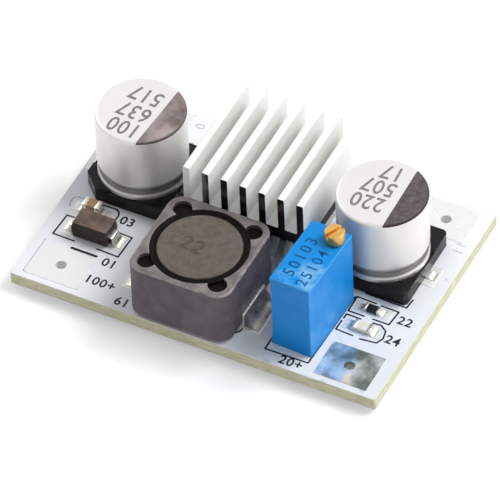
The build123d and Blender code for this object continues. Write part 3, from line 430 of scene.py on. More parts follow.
@dataclass(frozen=True)
class PaintedLightFinish(Finish):
    """A finish with painted light round one spot, used below for a painted highlight, a painted
    shade and a painted reflection.
    """

    painted_tone: Rgb = GREY
    painted_pale: Rgb = GREY
    painted_patch: float = 700.0
    painted_roughness: float = 0.16
    painted_metallic: float = 1.0
    top_only: bool = False
    spot: Triple = (0.0, 0.0, 0.0)
    reach: float = 4.0 * MM

    def extras(self, graph: Surface) -> None:
        """Lay the painted light round the spot, with a ragged edge.

        Args:
            graph: The material's tree.
        """
        away = graph.add("ShaderNodeVectorMath", {0: graph.place(), 1: self.spot},
                           operation="DISTANCE").outputs["Value"]
        ragged = RAGGED * self.reach
        uneven = graph.remap(graph.noise(RAGGED_SCALE), *RAGGED_LEVELS, -ragged, ragged)
        near = graph.fall(graph.math("ADD", away, uneven), self.reach - ragged, self.reach)
        if self.top_only:
            near = graph.product(near, graph.remap(graph.facing(2), *LEVEL_TOP))
        patch = graph.remap(graph.noise(self.painted_patch, detail=4.0), *PAINTED_LEVELS)
        graph.lay(near, graph.blend(patch, self.painted_tone, self.painted_pale),
                    Roughness=self.painted_roughness, Metallic=self.painted_metallic)


@dataclass(frozen=True)
class ShadedBandFinish(Finish):
    """A finish with a darker band between two heights: painted shade in a groove."""

    band: Rgb = tone("3a322e")
    band_from: float = 4.44 * MM
    band_middle: float = 4.72 * MM
    band_to: float = 6.0 * MM
    band_amount: float = 0.9

    def extras(self, graph: Surface) -> None:
        """Darken the band with painted shade, most in its middle.

        Args:
            graph: The material's tree.
        """
        height = graph.along(2)
        graph.lay(graph.product(graph.remap(height, self.band_from, self.band_middle),
                                    graph.fall(height, self.band_middle, self.band_to),
                                    self.band_amount), self.band)


class Looks:
    """The finishes of the module's own pieces."""

    BOARD = BoardFinish(
        "white_solder_mask", tone("eef0f4"), tone("e5e8ee"), 0.36, patch=90, softness=0.25,
        drift=0.6, specks=(tone("ccd0dc"), 900, 0.03), grain=1400, wave=2.5, bump=0.12,
        specular=0.35)
    # dark grey-green patches round a spot on the front-right pad: a painted reflection
    TIN = PaintedLightFinish(
        "tinned_pad", tone("f6f6f4"), tone("e6e9e9"), 0.28, 0.4, patch=350, softness=0.3, drift=0.6,
        rough_drift=0.06, grain=1100, wave=24, bump=1.0, depth=0.003, painted_tone=tone("7e8884"),
        painted_pale=tone("e2e6e4"), painted_patch=430, spot=(0.0180, -0.01175, 0.00225),
        reach=4.7 * MM)
    # darker, brownish solder round a spot beside the inductor's right side: painted shade
    SOLDER = PaintedLightFinish(
        "bright_solder", tone("eceadc"), tone("cccabc"), 0.32, 0.8, patch=1300, softness=0.15,
        drift=0.7, rough_drift=0.1, grain=1400, wave=6.0, bump=0.5, depth=0.012,
        painted_tone=tone("625c62"), painted_pale=tone("bcb2aa"), painted_roughness=0.42, painted_metallic=0.45,
        spot=(0.0052, -0.0086, 0.0026), reach=4.6 * MM)
    # darker band above the bead, under the crimp: painted shade
    CAN = ShadedBandFinish(
        "drawn_aluminium_can", tone("eceae7"), tone("e0dedc"), 0.4, 0.55, patch=260,
        rough_drift=0.04, lines=(260, 260, 5200), bump=0.2, depth=0.012)
    PRINT = {"grain": 5000, "depth": 0.01, "drift": 0.8}
    # the print lighter on the top than over the rim: painted light
    CAN_PRINT = FacetFinish(
        "can_print", tone("2c2525"), tone("3a3232"), 0.5, patch=1500, softness=0.16, specular=0.25,
        facet=tone("685f5e"), facet_other=tone("4a4242"), facet_roughness=0.5, **PRINT)
    # the print paler and patchy on the top than over the rim: wear, with painted light on the top
    WORN_AND_LIT_PRINT = FacetFinish(
        "worn_can_print_painted_light", tone("42383a"), tone("706464"), 0.5, patch=520, specular=0.3,
        facet=tone("ac9d9b"), facet_other=tone("5a4d4e"), facet_roughness=0.5, **PRINT)
    CAN_NUMBER = Finish(
        "can_number", tone("8e8683"), tone("706866"), 0.5, patch=2600, softness=0.14, specular=0.3,
        **PRINT)
    TRIMMER_PRINT = Finish(
        "trimmer_print", tone("084a80"), tone("0e64a6"), 0.55, patch=2600, softness=0.1,
        specular=0.15, **PRINT)
    CORE_PRINT = Finish(
        "drum_print", tone("4e463f"), tone("5c544c"), 0.6, patch=3000, specular=0.2, grain=5000,
        bump=0.2, depth=0.01)
    MARKING = Finish(
        "board_marking", tone("1a1a1e"), tone("303034"), 0.55, patch=2400, softness=0.1, drift=0.6,
        specular=0.3, grain=5000, depth=0.005)
    FAINT_MARKING = Finish(
        "pad_outline", tone("bcbcc0"), tone("cacace"), 0.5, patch=1800, softness=0.1, drift=0.6,
        grain=5000, depth=0.005)
    # lighter edges: wear with a painted highlight
    CARRIER = Finish(
        "black_carrier", tone("0c0a0b"), tone("070607"), 0.36, patch=700, drift=0.7,
        rough_drift=0.1, specular=0.26, grain=5200, wave=1.5, bump=0.2, edges=(tone("464042"), 0.4))
    METAL = {"patch": 900, "drift": 0.6, "grain": 2400, "bump": 0.15}
    LEAD = Finish("tinned_lead", tone("e2e1de"), tone("c4c4c2"), 0.3, 0.8, **METAL)
    # a paler, less metallic copy of the lead finish, so the shaded chip leads look lit: painted
    # light
    LIT_CHIP_LEAD = Finish("lead_with_painted_light", tone("fcfaf4"), tone("e2ded4"), 0.3, 0.3, **METAL)
    # tops lighter than the sides: painted light; lighter rims: wear with a painted highlight
    SHIELD = FacetFinish(
        "grey_shield", tone("625a5f"), tone("4a4349"), 0.5, patch=560, drift=0.7, rough_drift=0.08,
        specular=0.32, specks=(tone("585054"), 5200, 0.22), grain=5200, wave=1.2, bump=0.28,
        depth=0.03, rim=tone("9e9694"), facet=tone("8c8582"), facet_other=tone("585150"))
    CORE = Finish(
        "drum_ferrite", tone("686057"), tone("544c45"), 0.55, patch=1300, drift=0.8,
        rough_drift=0.08, specular=0.25, specks=(tone("70675e"), 6400, 0.3), grain=4200, wave=1.2,
        bump=0.35, depth=0.03)
    COPPER = Finish(
        "enamelled_copper", tone("be703e"), tone("a0582e"), 0.3, 1.0, patch=1200,
        lines=(300, 300, 9000), bump=0.3, depth=0.05)
    GLUE = Finish(
        "dark_resin", tone("140e0d"), tone("0a0707"), 0.6, patch=900, drift=0.8, rough_drift=0.15,
        specular=0.08, grain=1600, wave=2.0, bump=0.5, depth=0.06)
    # lighter edges: wear with a painted highlight
    CHIP = Finish(
        "moulded_epoxy", tone("0e0d0f"), tone("080709"), 0.55, patch=800, drift=0.6, specular=0.12,
        grain=7000, bump=0.3, edges=(tone("3a3739"), 0.35))
    ADHESIVE = Finish(
        "thermal_adhesive", tone("e0e0de"), tone("ccccca"), 0.7, patch=1200, grain=2600, bump=0.3,
        depth=0.03)
    # dark, mirror-like fin ends: painted shade; the fade leaves the first fin's end pale: painted
    # light
    HEATSINK = FacetFinish(
        "satin_extruded_aluminium", tone("f4f4f1"), tone("ecede9"), 0.5, 0.08, patch=320,
        specular=0.25, rough_drift=0.03, lines=(2600, 90, 2600), bump=0.03, depth=0.01, axis=1,
        facet=tone("706a68"), facet_other=tone("5a5453"), facet_roughness=0.2, facet_metallic=1.0,
        fade=(-6.4 * MM, -3.9 * MM))
    # pale patches on the top round the screw: a painted highlight; lighter edges: wear with a
    # painted highlight
    TRIMMER = PaintedLightFinish(
        "blue_moulding", tone("088cde"), tone("047ed0"), 0.42, rough_drift=0.07, specular=0.24,
        grain=4200, wave=1.4, bump=0.22, depth=0.025, edges=(tone("60b4ec"), 0.5),
        painted_tone=tone("0a8ad8"), painted_pale=tone("78b8e6"), painted_patch=620, painted_roughness=0.5,
        painted_metallic=0.0, spot=(0.0116, -0.0110, 0.0123), reach=3.0 * MM, top_only=True)
    BRASS = Finish(
        "turned_brass", tone("ecbe70"), tone("cc984c"), 0.36, 0.9, patch=1400, drift=0.7,
        rough_drift=0.08, lines=(900, 900, 9000), bump=0.15)
    RUBBER = Finish("black_seal", tone("1c1c1c"), tone("141414"), 0.6, grain=6000)
    ROTOR = Finish("natural_moulding", tone("d8d4c8"), tone("c8c4b8"), 0.45, grain=4000)
    WIPER = Finish("spring_alloy", tone("ceb274"), tone("ba9c60"), 0.28, 1.0)
    ALUMINA = Finish("white_alumina", tone("e8e6e0"), tone("dcdad4"), 0.5, grain=6000, bump=0.2)
    TRACK = Finish("resistance_film", tone("282626"), tone("1c1b1c"), 0.5, grain=6000, bump=0.2)
    POTTING = Finish(
        "potting_resin", tone("245488"), tone("1c4474"), 0.25, grain=1500, wave=3.0, bump=0.3,
        depth=0.04)
    # top lighter than the sides: painted light; lighter rims: wear with a painted highlight
    DIODE = FacetFinish(
        "brown_epoxy", tone("2a1f1b"), tone("1a1311"), 0.5, patch=620, softness=0.14, drift=0.85,
        rough_drift=0.1, specular=0.3, specks=(tone("54443c"), 6400, 0.22), rim=tone("7a685e"),
        grain=5200, wave=1.5, bump=0.35, depth=0.03, facet=tone("7e6a5e"),
        facet_other=tone("463730"))
    CERAMIC = Finish(
        "tan_ceramic", tone("be9876"), tone("a88262"), 0.4, patch=1600, drift=0.6, grain=5200,
        bump=0.2)
    BLACK_GLAZE = Finish(
        "black_glaze", tone("18181a"), tone("101012"), 0.3, patch=1500, specular=0.35, grain=3800,
        bump=0.2)
    CREAM_GLAZE = Finish(
        "cream_glaze", tone("f0ecd8"), tone("e4dec6"), 0.35, patch=1500, drift=0.6, grain=3800,
        bump=0.2)


# ---- making pieces


class Body(Enum):
    """The bodies that pieces ride on."""

    BOARD = "board"
    SCREW = "screw"
    ROTOR = "rotor"


class Shading(Enum):
    """How a piece is shaded: flat, or running on under an angle in degrees."""

    FLAT = None
    SOFT = 35.0
    ROUND = 50.0


class Maker:
    """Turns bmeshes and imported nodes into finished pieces."""

    WELD = 1e-7          # points of an added piece nearer than this are one, m
    NODE_WELD = 1e-6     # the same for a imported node, m
    FACE_WEIGHT = 60     # how much large faces lead the shading beside a rounded edge
    ARC_STEPS = 5        # points along a profile's rounded corner

    @staticmethod
    def piece(name: str, mesh: Mesh, finish: Finish, slot: str, body: Body = Body.BOARD,
              shading: Shading = Shading.SOFT) -> bpy.types.Object:
        """Make an object from a bmesh, give it its finish and let it ride on a body.

        Args:
            name: The piece's name.
            mesh: Its shape, in metres, in place.
            finish: Its finish.
            slot: A material slot's name; not used.
            body: The body that it rides on.
            shading: How it is shaded.

        Returns:
            The object.
        """
        bmesh.ops.remove_doubles(mesh, verts=mesh.verts, dist=Maker.WELD)
        bmesh.ops.recalc_face_normals(mesh, faces=mesh.faces)
        if shading is not Shading.FLAT:
            for face in mesh.faces:
                face.smooth = True
            limit = math.radians(shading.value)
            for edge in mesh.edges:
                if len(edge.link_faces) == 2 and edge.calc_face_angle(0.0) > limit:
                    edge.smooth = False
        data = bpy.data.meshes.new(name)
        mesh.to_mesh(data)
        mesh.free()
        data.materials.append(finish.material)
        made = bpy.data.objects.new(name, data)
        bpy.context.scene.collection.objects.link(made)
        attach(made, body.value)
        log.info("piece %s: %d faces", name, len(data.polygons))
        return made

    @staticmethod
    def dress(node: str, finish: Finish, round_edges: float = 0.0, segments: int = 2,
              crease: float = 32.0) -> None:
        """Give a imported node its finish, smooth shading and softly rounded edges.

        Args:
            node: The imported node's name.
            finish: Its finish.
            round_edges: Radius of the rounding, mm, or 0 for none.
            segments: Faces across the rounding.
            crease: Edges sharper than this, in degrees, are rounded or stay sharp.
        """
        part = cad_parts[node]
        part.data.materials.clear()
        part.data.materials.append(finish.material)
        for face in part.data.polygons:
            face.use_smooth = True
        weld = part.modifiers.new("weld", "WELD")
        weld.merge_threshold = Maker.NODE_WELD
        if round_edges > 0:
            bevel = part.modifiers.new("round", "BEVEL")
            bevel.limit_method = "ANGLE"
            bevel.angle_limit = math.radians(crease)
            bevel.width = round_edges * MM
            bevel.segments = segments
            even = part.modifiers.new("even", "WEIGHTED_NORMAL")
            even.keep_sharp = True
            even.weight = Maker.FACE_WEIGHT
        else:
            split = part.modifiers.new("split", "EDGE_SPLIT")
            split.split_angle = math.radians(crease)
        log.info("node %s dressed in %s", node, finish.name)

    @staticmethod
    def turned(profile: Sequence[Triple], centre: Point, steps: int) -> Mesh:
        """Turn a profile with rounded corners about an upright axis.

        Args:
            profile: Radius, height and corner radius of each point, mm.
            centre: The axis, mm.
            steps: Steps in the full turn.

        Returns:
            The closed turned shape.
        """
        mesh = bmesh.new()
        points = [mesh.verts.new((radius * MM, 0.0, height * MM))
                  for radius, height in Maker.rounded(profile)]
        edges = [mesh.edges.new(pair) for pair in zip(points, points[1:])]
        bmesh.ops.spin(mesh, geom=points + edges, cent=(0, 0, 0), axis=(0, 0, 1),
                       angle=2 * math.pi, steps=steps, use_merge=True)
        bmesh.ops.remove_doubles(mesh, verts=mesh.verts, dist=Maker.WELD)
        Maker.shift(mesh, (*centre, 0.0))
        return mesh

    @staticmethod
    def rounded(profile: Sequence[Triple]) -> list[Point]:
        """Round the corners of a profile.

        Args:
            profile: Radius, height and corner radius of each point, mm, 0 at both ends.

        Returns:
            The profile's points with arcs in place of the rounded corners.
        """
        made: list[Point] = []
        for index, (radius, height, corner) in enumerate(profile):
            if corner <= 0:
                made.append((radius, height))
                continue
            here = Vector((radius, height))
            before = (Vector(profile[index - 1][:2]) - here).normalized()
            after = (Vector(profile[index + 1][:2]) - here).normalized()
            reach = corner / math.tan(before.angle(after) / 2)
            start, end = here + before * reach, here + after * reach
            for step in range(Maker.ARC_STEPS + 1):
                share = step / Maker.ARC_STEPS
                point = (start * (1 - share) ** 2 + here * (2 * share * (1 - share))
                         + end * share ** 2)
                made.append((point.x, point.y))
        return made

    @staticmethod
    def shift(mesh: Mesh, by: Triple) -> None:
        """Move everything in the mesh, mm."""
        bmesh.ops.translate(mesh, verts=mesh.verts, vec=[part * MM for part in by])


class Marks:
    """Thin printed lines and numbers that lie on a flat face."""

    THICKNESS = 0.012        # mm
    END_STEPS = 12           # steps round a line's end
    CAP_HEIGHT = 0.7         # a digit's height against the font's size
    CURVE_STEPS = 3          # steps along a curve of the font

    @staticmethod
    def place(spot: Point, turn: float = 0.0) -> Matrix:
        """Return the matrix that lays a print at a spot, mm, turned by radians."""
        lifted = Vector((*spot, Marks.THICKNESS / 2)) * MM
        return Matrix.Translation(lifted) @ Matrix.Rotation(turn, 4, "Z")

    @classmethod
    def line(cls, mesh: Mesh, path: Sequence[Point], width: float) -> None:
        """Add a printed line with round ends and joints, lying on z = 0.

        Args:
            mesh: What the line is added to.
            path: Its points, mm.
            width: Its width, mm.
        """
        for spot in path:
            bmesh.ops.create_cone(
                mesh, cap_ends=True, segments=cls.END_STEPS, radius1=width / 2 * MM,
                radius2=width / 2 * MM, depth=cls.THICKNESS * MM, matrix=cls.place(spot))
        for start, end in zip(path, path[1:]):
            run = Vector(end) - Vector(start)
            middle = (Vector(start) + Vector(end)) / 2
            size = Matrix.Diagonal((run.length * MM, width * MM, cls.THICKNESS * MM, 1.0))
            bmesh.ops.create_cube(
                mesh, size=1.0, matrix=cls.place(middle, math.atan2(run.y, run.x)) @ size)

    @classmethod
    def number(cls, mesh: Mesh, text: str, centre: Point, height: float, turn: float = 0.0,
               pitch: float = 1.0, weight: float = 0.0, squeeze: float = 1.0) -> None:
        """Add a number lying on z = 0.

        Args:
            mesh: What the number is added to.
            text: Its digits or plain signs.
            centre: The middle of the text, mm.
            height: Height of a digit, mm.
            turn: Angle of its reading direction from +X, degrees.
            pitch: Spacing of the digits against the font's own.
            weight: How much fatter the strokes are, mm.
            squeeze: Width of the digits against the font's own.
        """
        curve = bpy.data.curves.new("number", "FONT")
        curve.body = text
        curve.align_x = "CENTER"
        curve.align_y = "CENTER"
        curve.size = height / cls.CAP_HEIGHT
        curve.space_character = pitch
        curve.offset = weight
        curve.extrude = cls.THICKNESS / 2
        curve.resolution_u = cls.CURVE_STEPS
        holder = bpy.data.objects.new("number", curve)
        data = bpy.data.meshes.new_from_object(holder)
        data.transform(cls.place(centre, math.radians(turn))
                       @ Matrix.Diagonal((squeeze * MM, MM, MM, 1.0)))
        mesh.from_mesh(data)
        bpy.data.objects.remove(holder)
        bpy.data.curves.remove(curve)
        bpy.data.meshes.remove(data)

    @staticmethod
    def lay(name: str, mesh: Mesh, finish: Finish, slot: str, place: Triple) -> None:
        """Move the marks to the face that they are printed on, mm, and make them a piece."""
        Maker.shift(mesh, place)
        Maker.piece(name, mesh, finish, slot, shading=Shading.FLAT)


# ---- sub-assemblies


@dataclass
class Board:
    """The circuit board, its plated places, its solder and its printed marks."""

    top: float = 2.25
    corner: Point = (-21.75, -15.0)
    digit_height: float = 1.15
    line_width: float = 0.2
    outlines: tuple = (
        # chip capacitor's right end
        ((4.49, 13.05), (6.15, 13.07), (6.6, 12.8), (6.78, 12.3), (6.73, 11.59)),
        # diode
        ((4.15, 6.99), (1.56, 7.05), (1.69, 10.08), (2.6, 10.1)),
        ((7.72, 10.13), (9.59, 10.02), (9.51, 6.9), (6.93, 6.99)),
        # divider resistor
        ((37.54, 12.5), (35.28, 12.57), (35.3, 10.33), (37.14, 10.33)),
        ((38.21, 12.45), (40.28, 12.39), (40.11, 10.32), (38.22, 10.32)),
        # bias resistor
        ((37.03, 9.81), (35.35, 9.82), (35.33, 9.2)),
        ((35.3, 8.75), (35.27, 7.4), (37.29, 7.29)),
        ((38.49, 9.83), (39.44, 9.88), (40.21, 9.31), (40.44, 8.24), (40.07, 7.4),
         (38.21, 7.19)),
        # trimmer
        ((29.73, 3.4), (29.73, 1.68), (34.78, 1.75), (35.08, 12.41)),
        # input capacitor's carrier
        ((35.9, 13.4), (40.75, 13.3), (40.85, 14.6)),
        # inductor's front corners
        ((26.35, 3.6), (26.2, 2.75), (25.6, 2.1), (24.6, 1.75)),
        ((13.75, 3.6), (13.95, 2.7), (14.6, 2.05), (15.5, 1.75)),
    )
    bar_width: float = 0.32
    bars: tuple = (((4.4, 6.0), (7.35, 5.98)),)
    numbers: tuple = (
        ("03", (8.05, 11.9)), ("01", (9.1, 5.6)), ("100+", (9.5, 2.7)), ("61", (12.9, 1.15)),
        ("20+", (33.1, 1.0)), ("22", (41.5, 11.35)), ("24", (41.5, 8.35)), ("-", (33.6, 27.9)),
    )
    number_style: Triple = (0.0, 1.08, 0.03)         # turn, pitch and weight
    faint_width: float = 0.14
    faint: tuple = (
        ((1.2, 5.95), (1.2, 0.85), (7.7, 0.85)),
        ((1.32, 11.45), (1.12, 12.1), (1.12, 12.73), (1.6, 13.03), (2.83, 13.03)),
        ((41.6, 23.0), (42.6, 23.0)), ((41.6, 24.0), (42.6, 24.0)),
    )
    faint_numbers: tuple = (("0", (8.75, 28.0)), ("-", (7.4, 29.2)))
    faint_style: Triple = (90.0, 1.0, 0.0)

    def local(self, spot: Point) -> Point:
        """Turn a distance from the board's front-left corner into the part's own, mm."""
        return spot[0] + self.corner[0], spot[1] + self.corner[1]

    def layer(self, name: str, finish: Finish, lines: tuple, numbers: tuple,
              style: Triple) -> None:
        """Print one layer of lines and numbers on the mask.

        Args:
            name: The piece's name.
            finish: Its finish.
            lines: Pairs of a set of paths and their width.
            numbers: Texts and their places.
            style: The numbers' turn, pitch and weight.
        """
        mesh = bmesh.new()
        for paths, width in lines:
            for path in paths:
                Marks.line(mesh, [self.local(spot) for spot in path], width)
        for text, spot in numbers:
            Marks.number(mesh, text, self.local(spot), self.digit_height, *style)
        Marks.lay(name, mesh, finish, "board", (0.0, 0.0, self.top))

    def build(self) -> None:
        """Dress the board and its metal, and print on it."""
        Maker.dress("pcb", Looks.BOARD, 0.04)
        for node in ("corner_terminals", "via", "solder_lands"):
            Maker.dress(node, Looks.TIN)
        for node in ("surface_solder", "pin_solder"):
            Maker.dress(node, Looks.SOLDER, crease=60.0)
        self.layer("board_marking", Looks.MARKING,
                   ((self.outlines, self.line_width), (self.bars, self.bar_width)),
                   self.numbers, self.number_style)
        self.layer("pad_outlines", Looks.FAINT_MARKING, ((self.faint, self.faint_width),),
                   self.faint_numbers, self.faint_style)


@dataclass
class ElectrolyticCapacitor:
    """A can capacitor on its moulded carrier, with its printed segment and numbers."""

    name: str
    centre: Point
    rows: tuple[tuple[str, Point], ...]
    chord_turn: float
    text_turn: float
    print_finish: Finish = Looks.CAN_PRINT
    chord: float = 2.1
    radius: float = 5.0
    steps: int = 128
    bottom: float = 3.85
    hollow: float = 0.08
    hollow_radius: float = 3.7
    foot_radius: float = 4.0
    foot_corner: float = 0.2
    bead_top: float = 4.45
    bead_corner: float = 0.14
    crimp: float = 4.97
    crimp_depth: float = 0.42
    crimp_corner: float = 0.34
    crimp_top: float = 5.9
    shoulder: float = 0.9
    top: float = 12.75
    rim: float = 0.42
    segment_reach: float = 0.26
    digit_height: float = 2.05
    digit_pitch: float = 1.08
    stroke: float = 0.03
    squeeze: float = 0.82

    def can(self) -> None:
        """Turn the drawn can with its rolled flange, its crimp and its rounded rim."""
        profile = (
            (0.0, self.bottom + self.hollow, 0.0),
            (self.hollow_radius, self.bottom + self.hollow, self.foot_corner),
            (self.foot_radius, self.bottom, self.foot_corner),
            (self.radius, self.bottom, self.foot_corner),
            (self.radius, self.bead_top, self.bead_corner),
            (self.radius - self.crimp_depth, self.crimp, self.crimp_corner),
            (self.radius, self.crimp_top, self.shoulder),
            (self.radius, self.top, self.rim),
            (0.0, self.top, 0.0),
        )
        piece = Maker.piece(f"{self.name}_can_drawn",
                            Maker.turned(profile, self.centre, self.steps), Looks.CAN,
                            "can_aluminium", shading=Shading.ROUND)
        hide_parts(f"{self.name}_can")

    def segment(self) -> Mesh:
        """Cut the printed segment of the minus side, which runs down over the rim.

        Returns:
            The segment, standing on the can's axis.
        """
        base, reach, top = (self.top - 2 * self.rim, self.radius + Marks.THICKNESS,
                            self.top + Marks.THICKNESS)
        mesh = Maker.turned(((0.0, base, 0.0), (reach, base, 0.0), (reach, top, self.rim),
                             (0.0, top, 0.0)), (0.0, 0.0), self.steps)
        normal = Matrix.Rotation(math.radians(self.chord_turn), 3, "Z") @ Vector((1, 0, 0))
        up = Vector((0, 0, 1))
        for spot, side in ((normal * self.chord * MM, normal),
                           (up * (self.top - self.segment_reach) * MM, up)):
            bmesh.ops.bisect_plane(mesh, geom=mesh.verts[:] + mesh.edges[:] + mesh.faces[:],
                                   plane_co=spot, plane_no=side, clear_inner=True)
            bmesh.ops.holes_fill(mesh, edges=[e for e in mesh.edges if e.is_boundary])
        return mesh

    def printing(self) -> None:
        """Print the dark segment and the plain numbers."""
        segment = self.segment()
        Maker.shift(segment, (*self.centre, 0.0))
        Maker.piece(f"{self.name}_minus_segment", segment, self.print_finish, "can_aluminium")
        mesh = bmesh.new()
        for text, spot in self.rows:
            Marks.number(mesh, text, spot, self.digit_height, self.text_turn,
                         self.digit_pitch, self.stroke, self.squeeze)
        Marks.lay(f"{self.name}_numbers", mesh, Looks.CAN_NUMBER, "can_aluminium",
                  (*self.centre, self.top))

    def build(self) -> None:
        """Build the can and its print, and dress the carrier and the leads."""
        self.can()
        self.printing()
        Maker.dress(f"{self.name}_carrier", Looks.CARRIER, 0.06)
        Maker.dress(f"{self.name}_leads", Looks.LEAD, 0.03)


@dataclass
class Inductor:
    """The shielded drum inductor."""

    centre: Point = (-1.7, -8.95)
    steps: int = 96
    drum_radius: float = 4.8
    drum_top: float = 9.15
    bore_radius: float = 5.4
    glue_top: float = 9.03
    overlap: float = 0.03            # how far what is added reaches into the solids
    gap: float = 0.02                # what is left free beside them
    face_radius: float = 4.62
    face_top: float = 9.46
    face_edge: float = 0.14
    bead_outer_top: float = 9.36
    bead_inner_top: float = 9.26
    bead_edge: float = 0.04
    bead_valley: Triple = (5.06, 9.2, 0.15)
    digit_height: float = 1.9
    number_offset: Point = (-0.8, -0.2)
    number_style: Triple = (-6.0, 1.1, 0.03)         # turn, pitch and weight

    def face(self) -> None:
        """Turn the drum's ground face and the bead of resin that stands round it."""
        low, lowest = self.drum_top - self.overlap, self.glue_top - self.overlap
        inner, outer = self.face_radius + self.gap, self.bore_radius - self.gap
        step = self.drum_radius + self.gap
        for name, finish, slot, profile in (
                ("inductor_drum_face", Looks.CORE, "core_ferrite",
                 ((0.0, low, 0.0), (self.face_radius, low, 0.0),
                  (self.face_radius, self.face_top, self.face_edge),
                  (0.0, self.face_top, 0.0))),
                ("inductor_glue_bead", Looks.GLUE, "core_glue",
                 ((inner, low, 0.0), (step, low, 0.0), (step, lowest, 0.0),
                  (outer, lowest, 0.0), (outer, self.bead_outer_top, self.bead_edge),
                  self.bead_valley, (inner, self.bead_inner_top, self.bead_edge),
                  (inner, low, 0.0)))):
            Maker.piece(name, Maker.turned(profile, self.centre, self.steps), finish, slot)

    def printing(self) -> None:
        """Print a plain number, faint, on the drum's face."""
        mesh = bmesh.new()
        Marks.number(mesh, "22", self.number_offset, self.digit_height, *self.number_style)
        Marks.lay("inductor_number", mesh, Looks.CORE_PRINT, "core_ferrite",
                  (*self.centre, self.face_top))

    def build(self) -> None:
        """Dress the ferrite, the resin, the winding and the terminals."""
        Maker.dress("inductor_shield", Looks.SHIELD, 0.17, 3)
        Maker.dress("inductor_drum_core", Looks.CORE, 0.08)
        Maker.dress("inductor_winding", Looks.COPPER)
        Maker.dress("inductor_glue", Looks.GLUE, crease=50.0)
        Maker.dress("inductor_terminals", Looks.LEAD, 0.05)
        self.face()
        self.printing()


@dataclass
class Converter:
    """The converter chip under its finned heatsink."""

    def build(self) -> None:
        """Dress the chip, the adhesive and the heatsink."""
        Maker.dress("converter_chip_body", Looks.CHIP, 0.05)
        Maker.dress("converter_chip_tab", Looks.LEAD, 0.05)
        Maker.dress("converter_chip_leads", Looks.LIT_CHIP_LEAD, 0.05)
        Maker.dress("thermal_adhesive", Looks.ADHESIVE)
        Maker.dress("heatsink", Looks.HEATSINK, 0.04)


@dataclass
class Trimmer:
    """The many-turn trimmer: housing, drive and the parts inside it."""

    corner: Point = (8.2, -12.25)
    turn: float = -2.3
    top: float = 12.28
    rows: tuple = (("50103", (1.55, 4.2), 1.35), ("25104", (3.45, 3.3), 1.25))
    number_style: Triple = (90.0, 1.3, 0.01)         # turn, pitch and weight

    def printing(self) -> None:
        """Print plain numbers along the top."""
        mesh = bmesh.new()
        for text, place, height in self.rows:
            Marks.number(mesh, text, place, height, *self.number_style)
        bmesh.ops.rotate(mesh, verts=mesh.verts, cent=(0, 0, 0),
                         matrix=Matrix.Rotation(math.radians(self.turn), 3, "Z"))
        Marks.lay("trimmer_print", mesh, Looks.TRIMMER_PRINT, "trimmer_plastic",
                  (*self.corner, self.top))

    def build(self) -> None:
        """Dress the trimmer's pieces."""
        Maker.dress("trimmer_housing", Looks.TRIMMER, 0.07, 3)
        Maker.dress("trimmer_screw", Looks.BRASS, 0.05)
        for node, finish in (("trimmer_seal", Looks.RUBBER), ("trimmer_rotor", Looks.ROTOR),
                             ("trimmer_wiper", Looks.WIPER), ("trimmer_element", Looks.ALUMINA),
                             ("trimmer_track", Looks.TRACK), ("trimmer_pins", Looks.LEAD),
                             ("trimmer_potting", Looks.POTTING)):
            Maker.dress(node, finish)
        self.printing()


@dataclass
class SmallParts:
    """The diode, the chip capacitor and the two chip resistors."""

    def build(self) -> None:
        """Dress the small parts."""
        Maker.dress("diode_body", Looks.DIODE, 0.08, 3)
        Maker.dress("diode_leads", Looks.LEAD, 0.03)
        for part, finish in (("ceramic_capacitor", Looks.CERAMIC),
                             ("divider_resistor", Looks.BLACK_GLAZE),
                             ("bias_resistor", Looks.CREAM_GLAZE)):
            Maker.dress(f"{part}_body", finish, 0.04)
            Maker.dress(f"{part}_end_caps", Looks.SOLDER, 0.06)


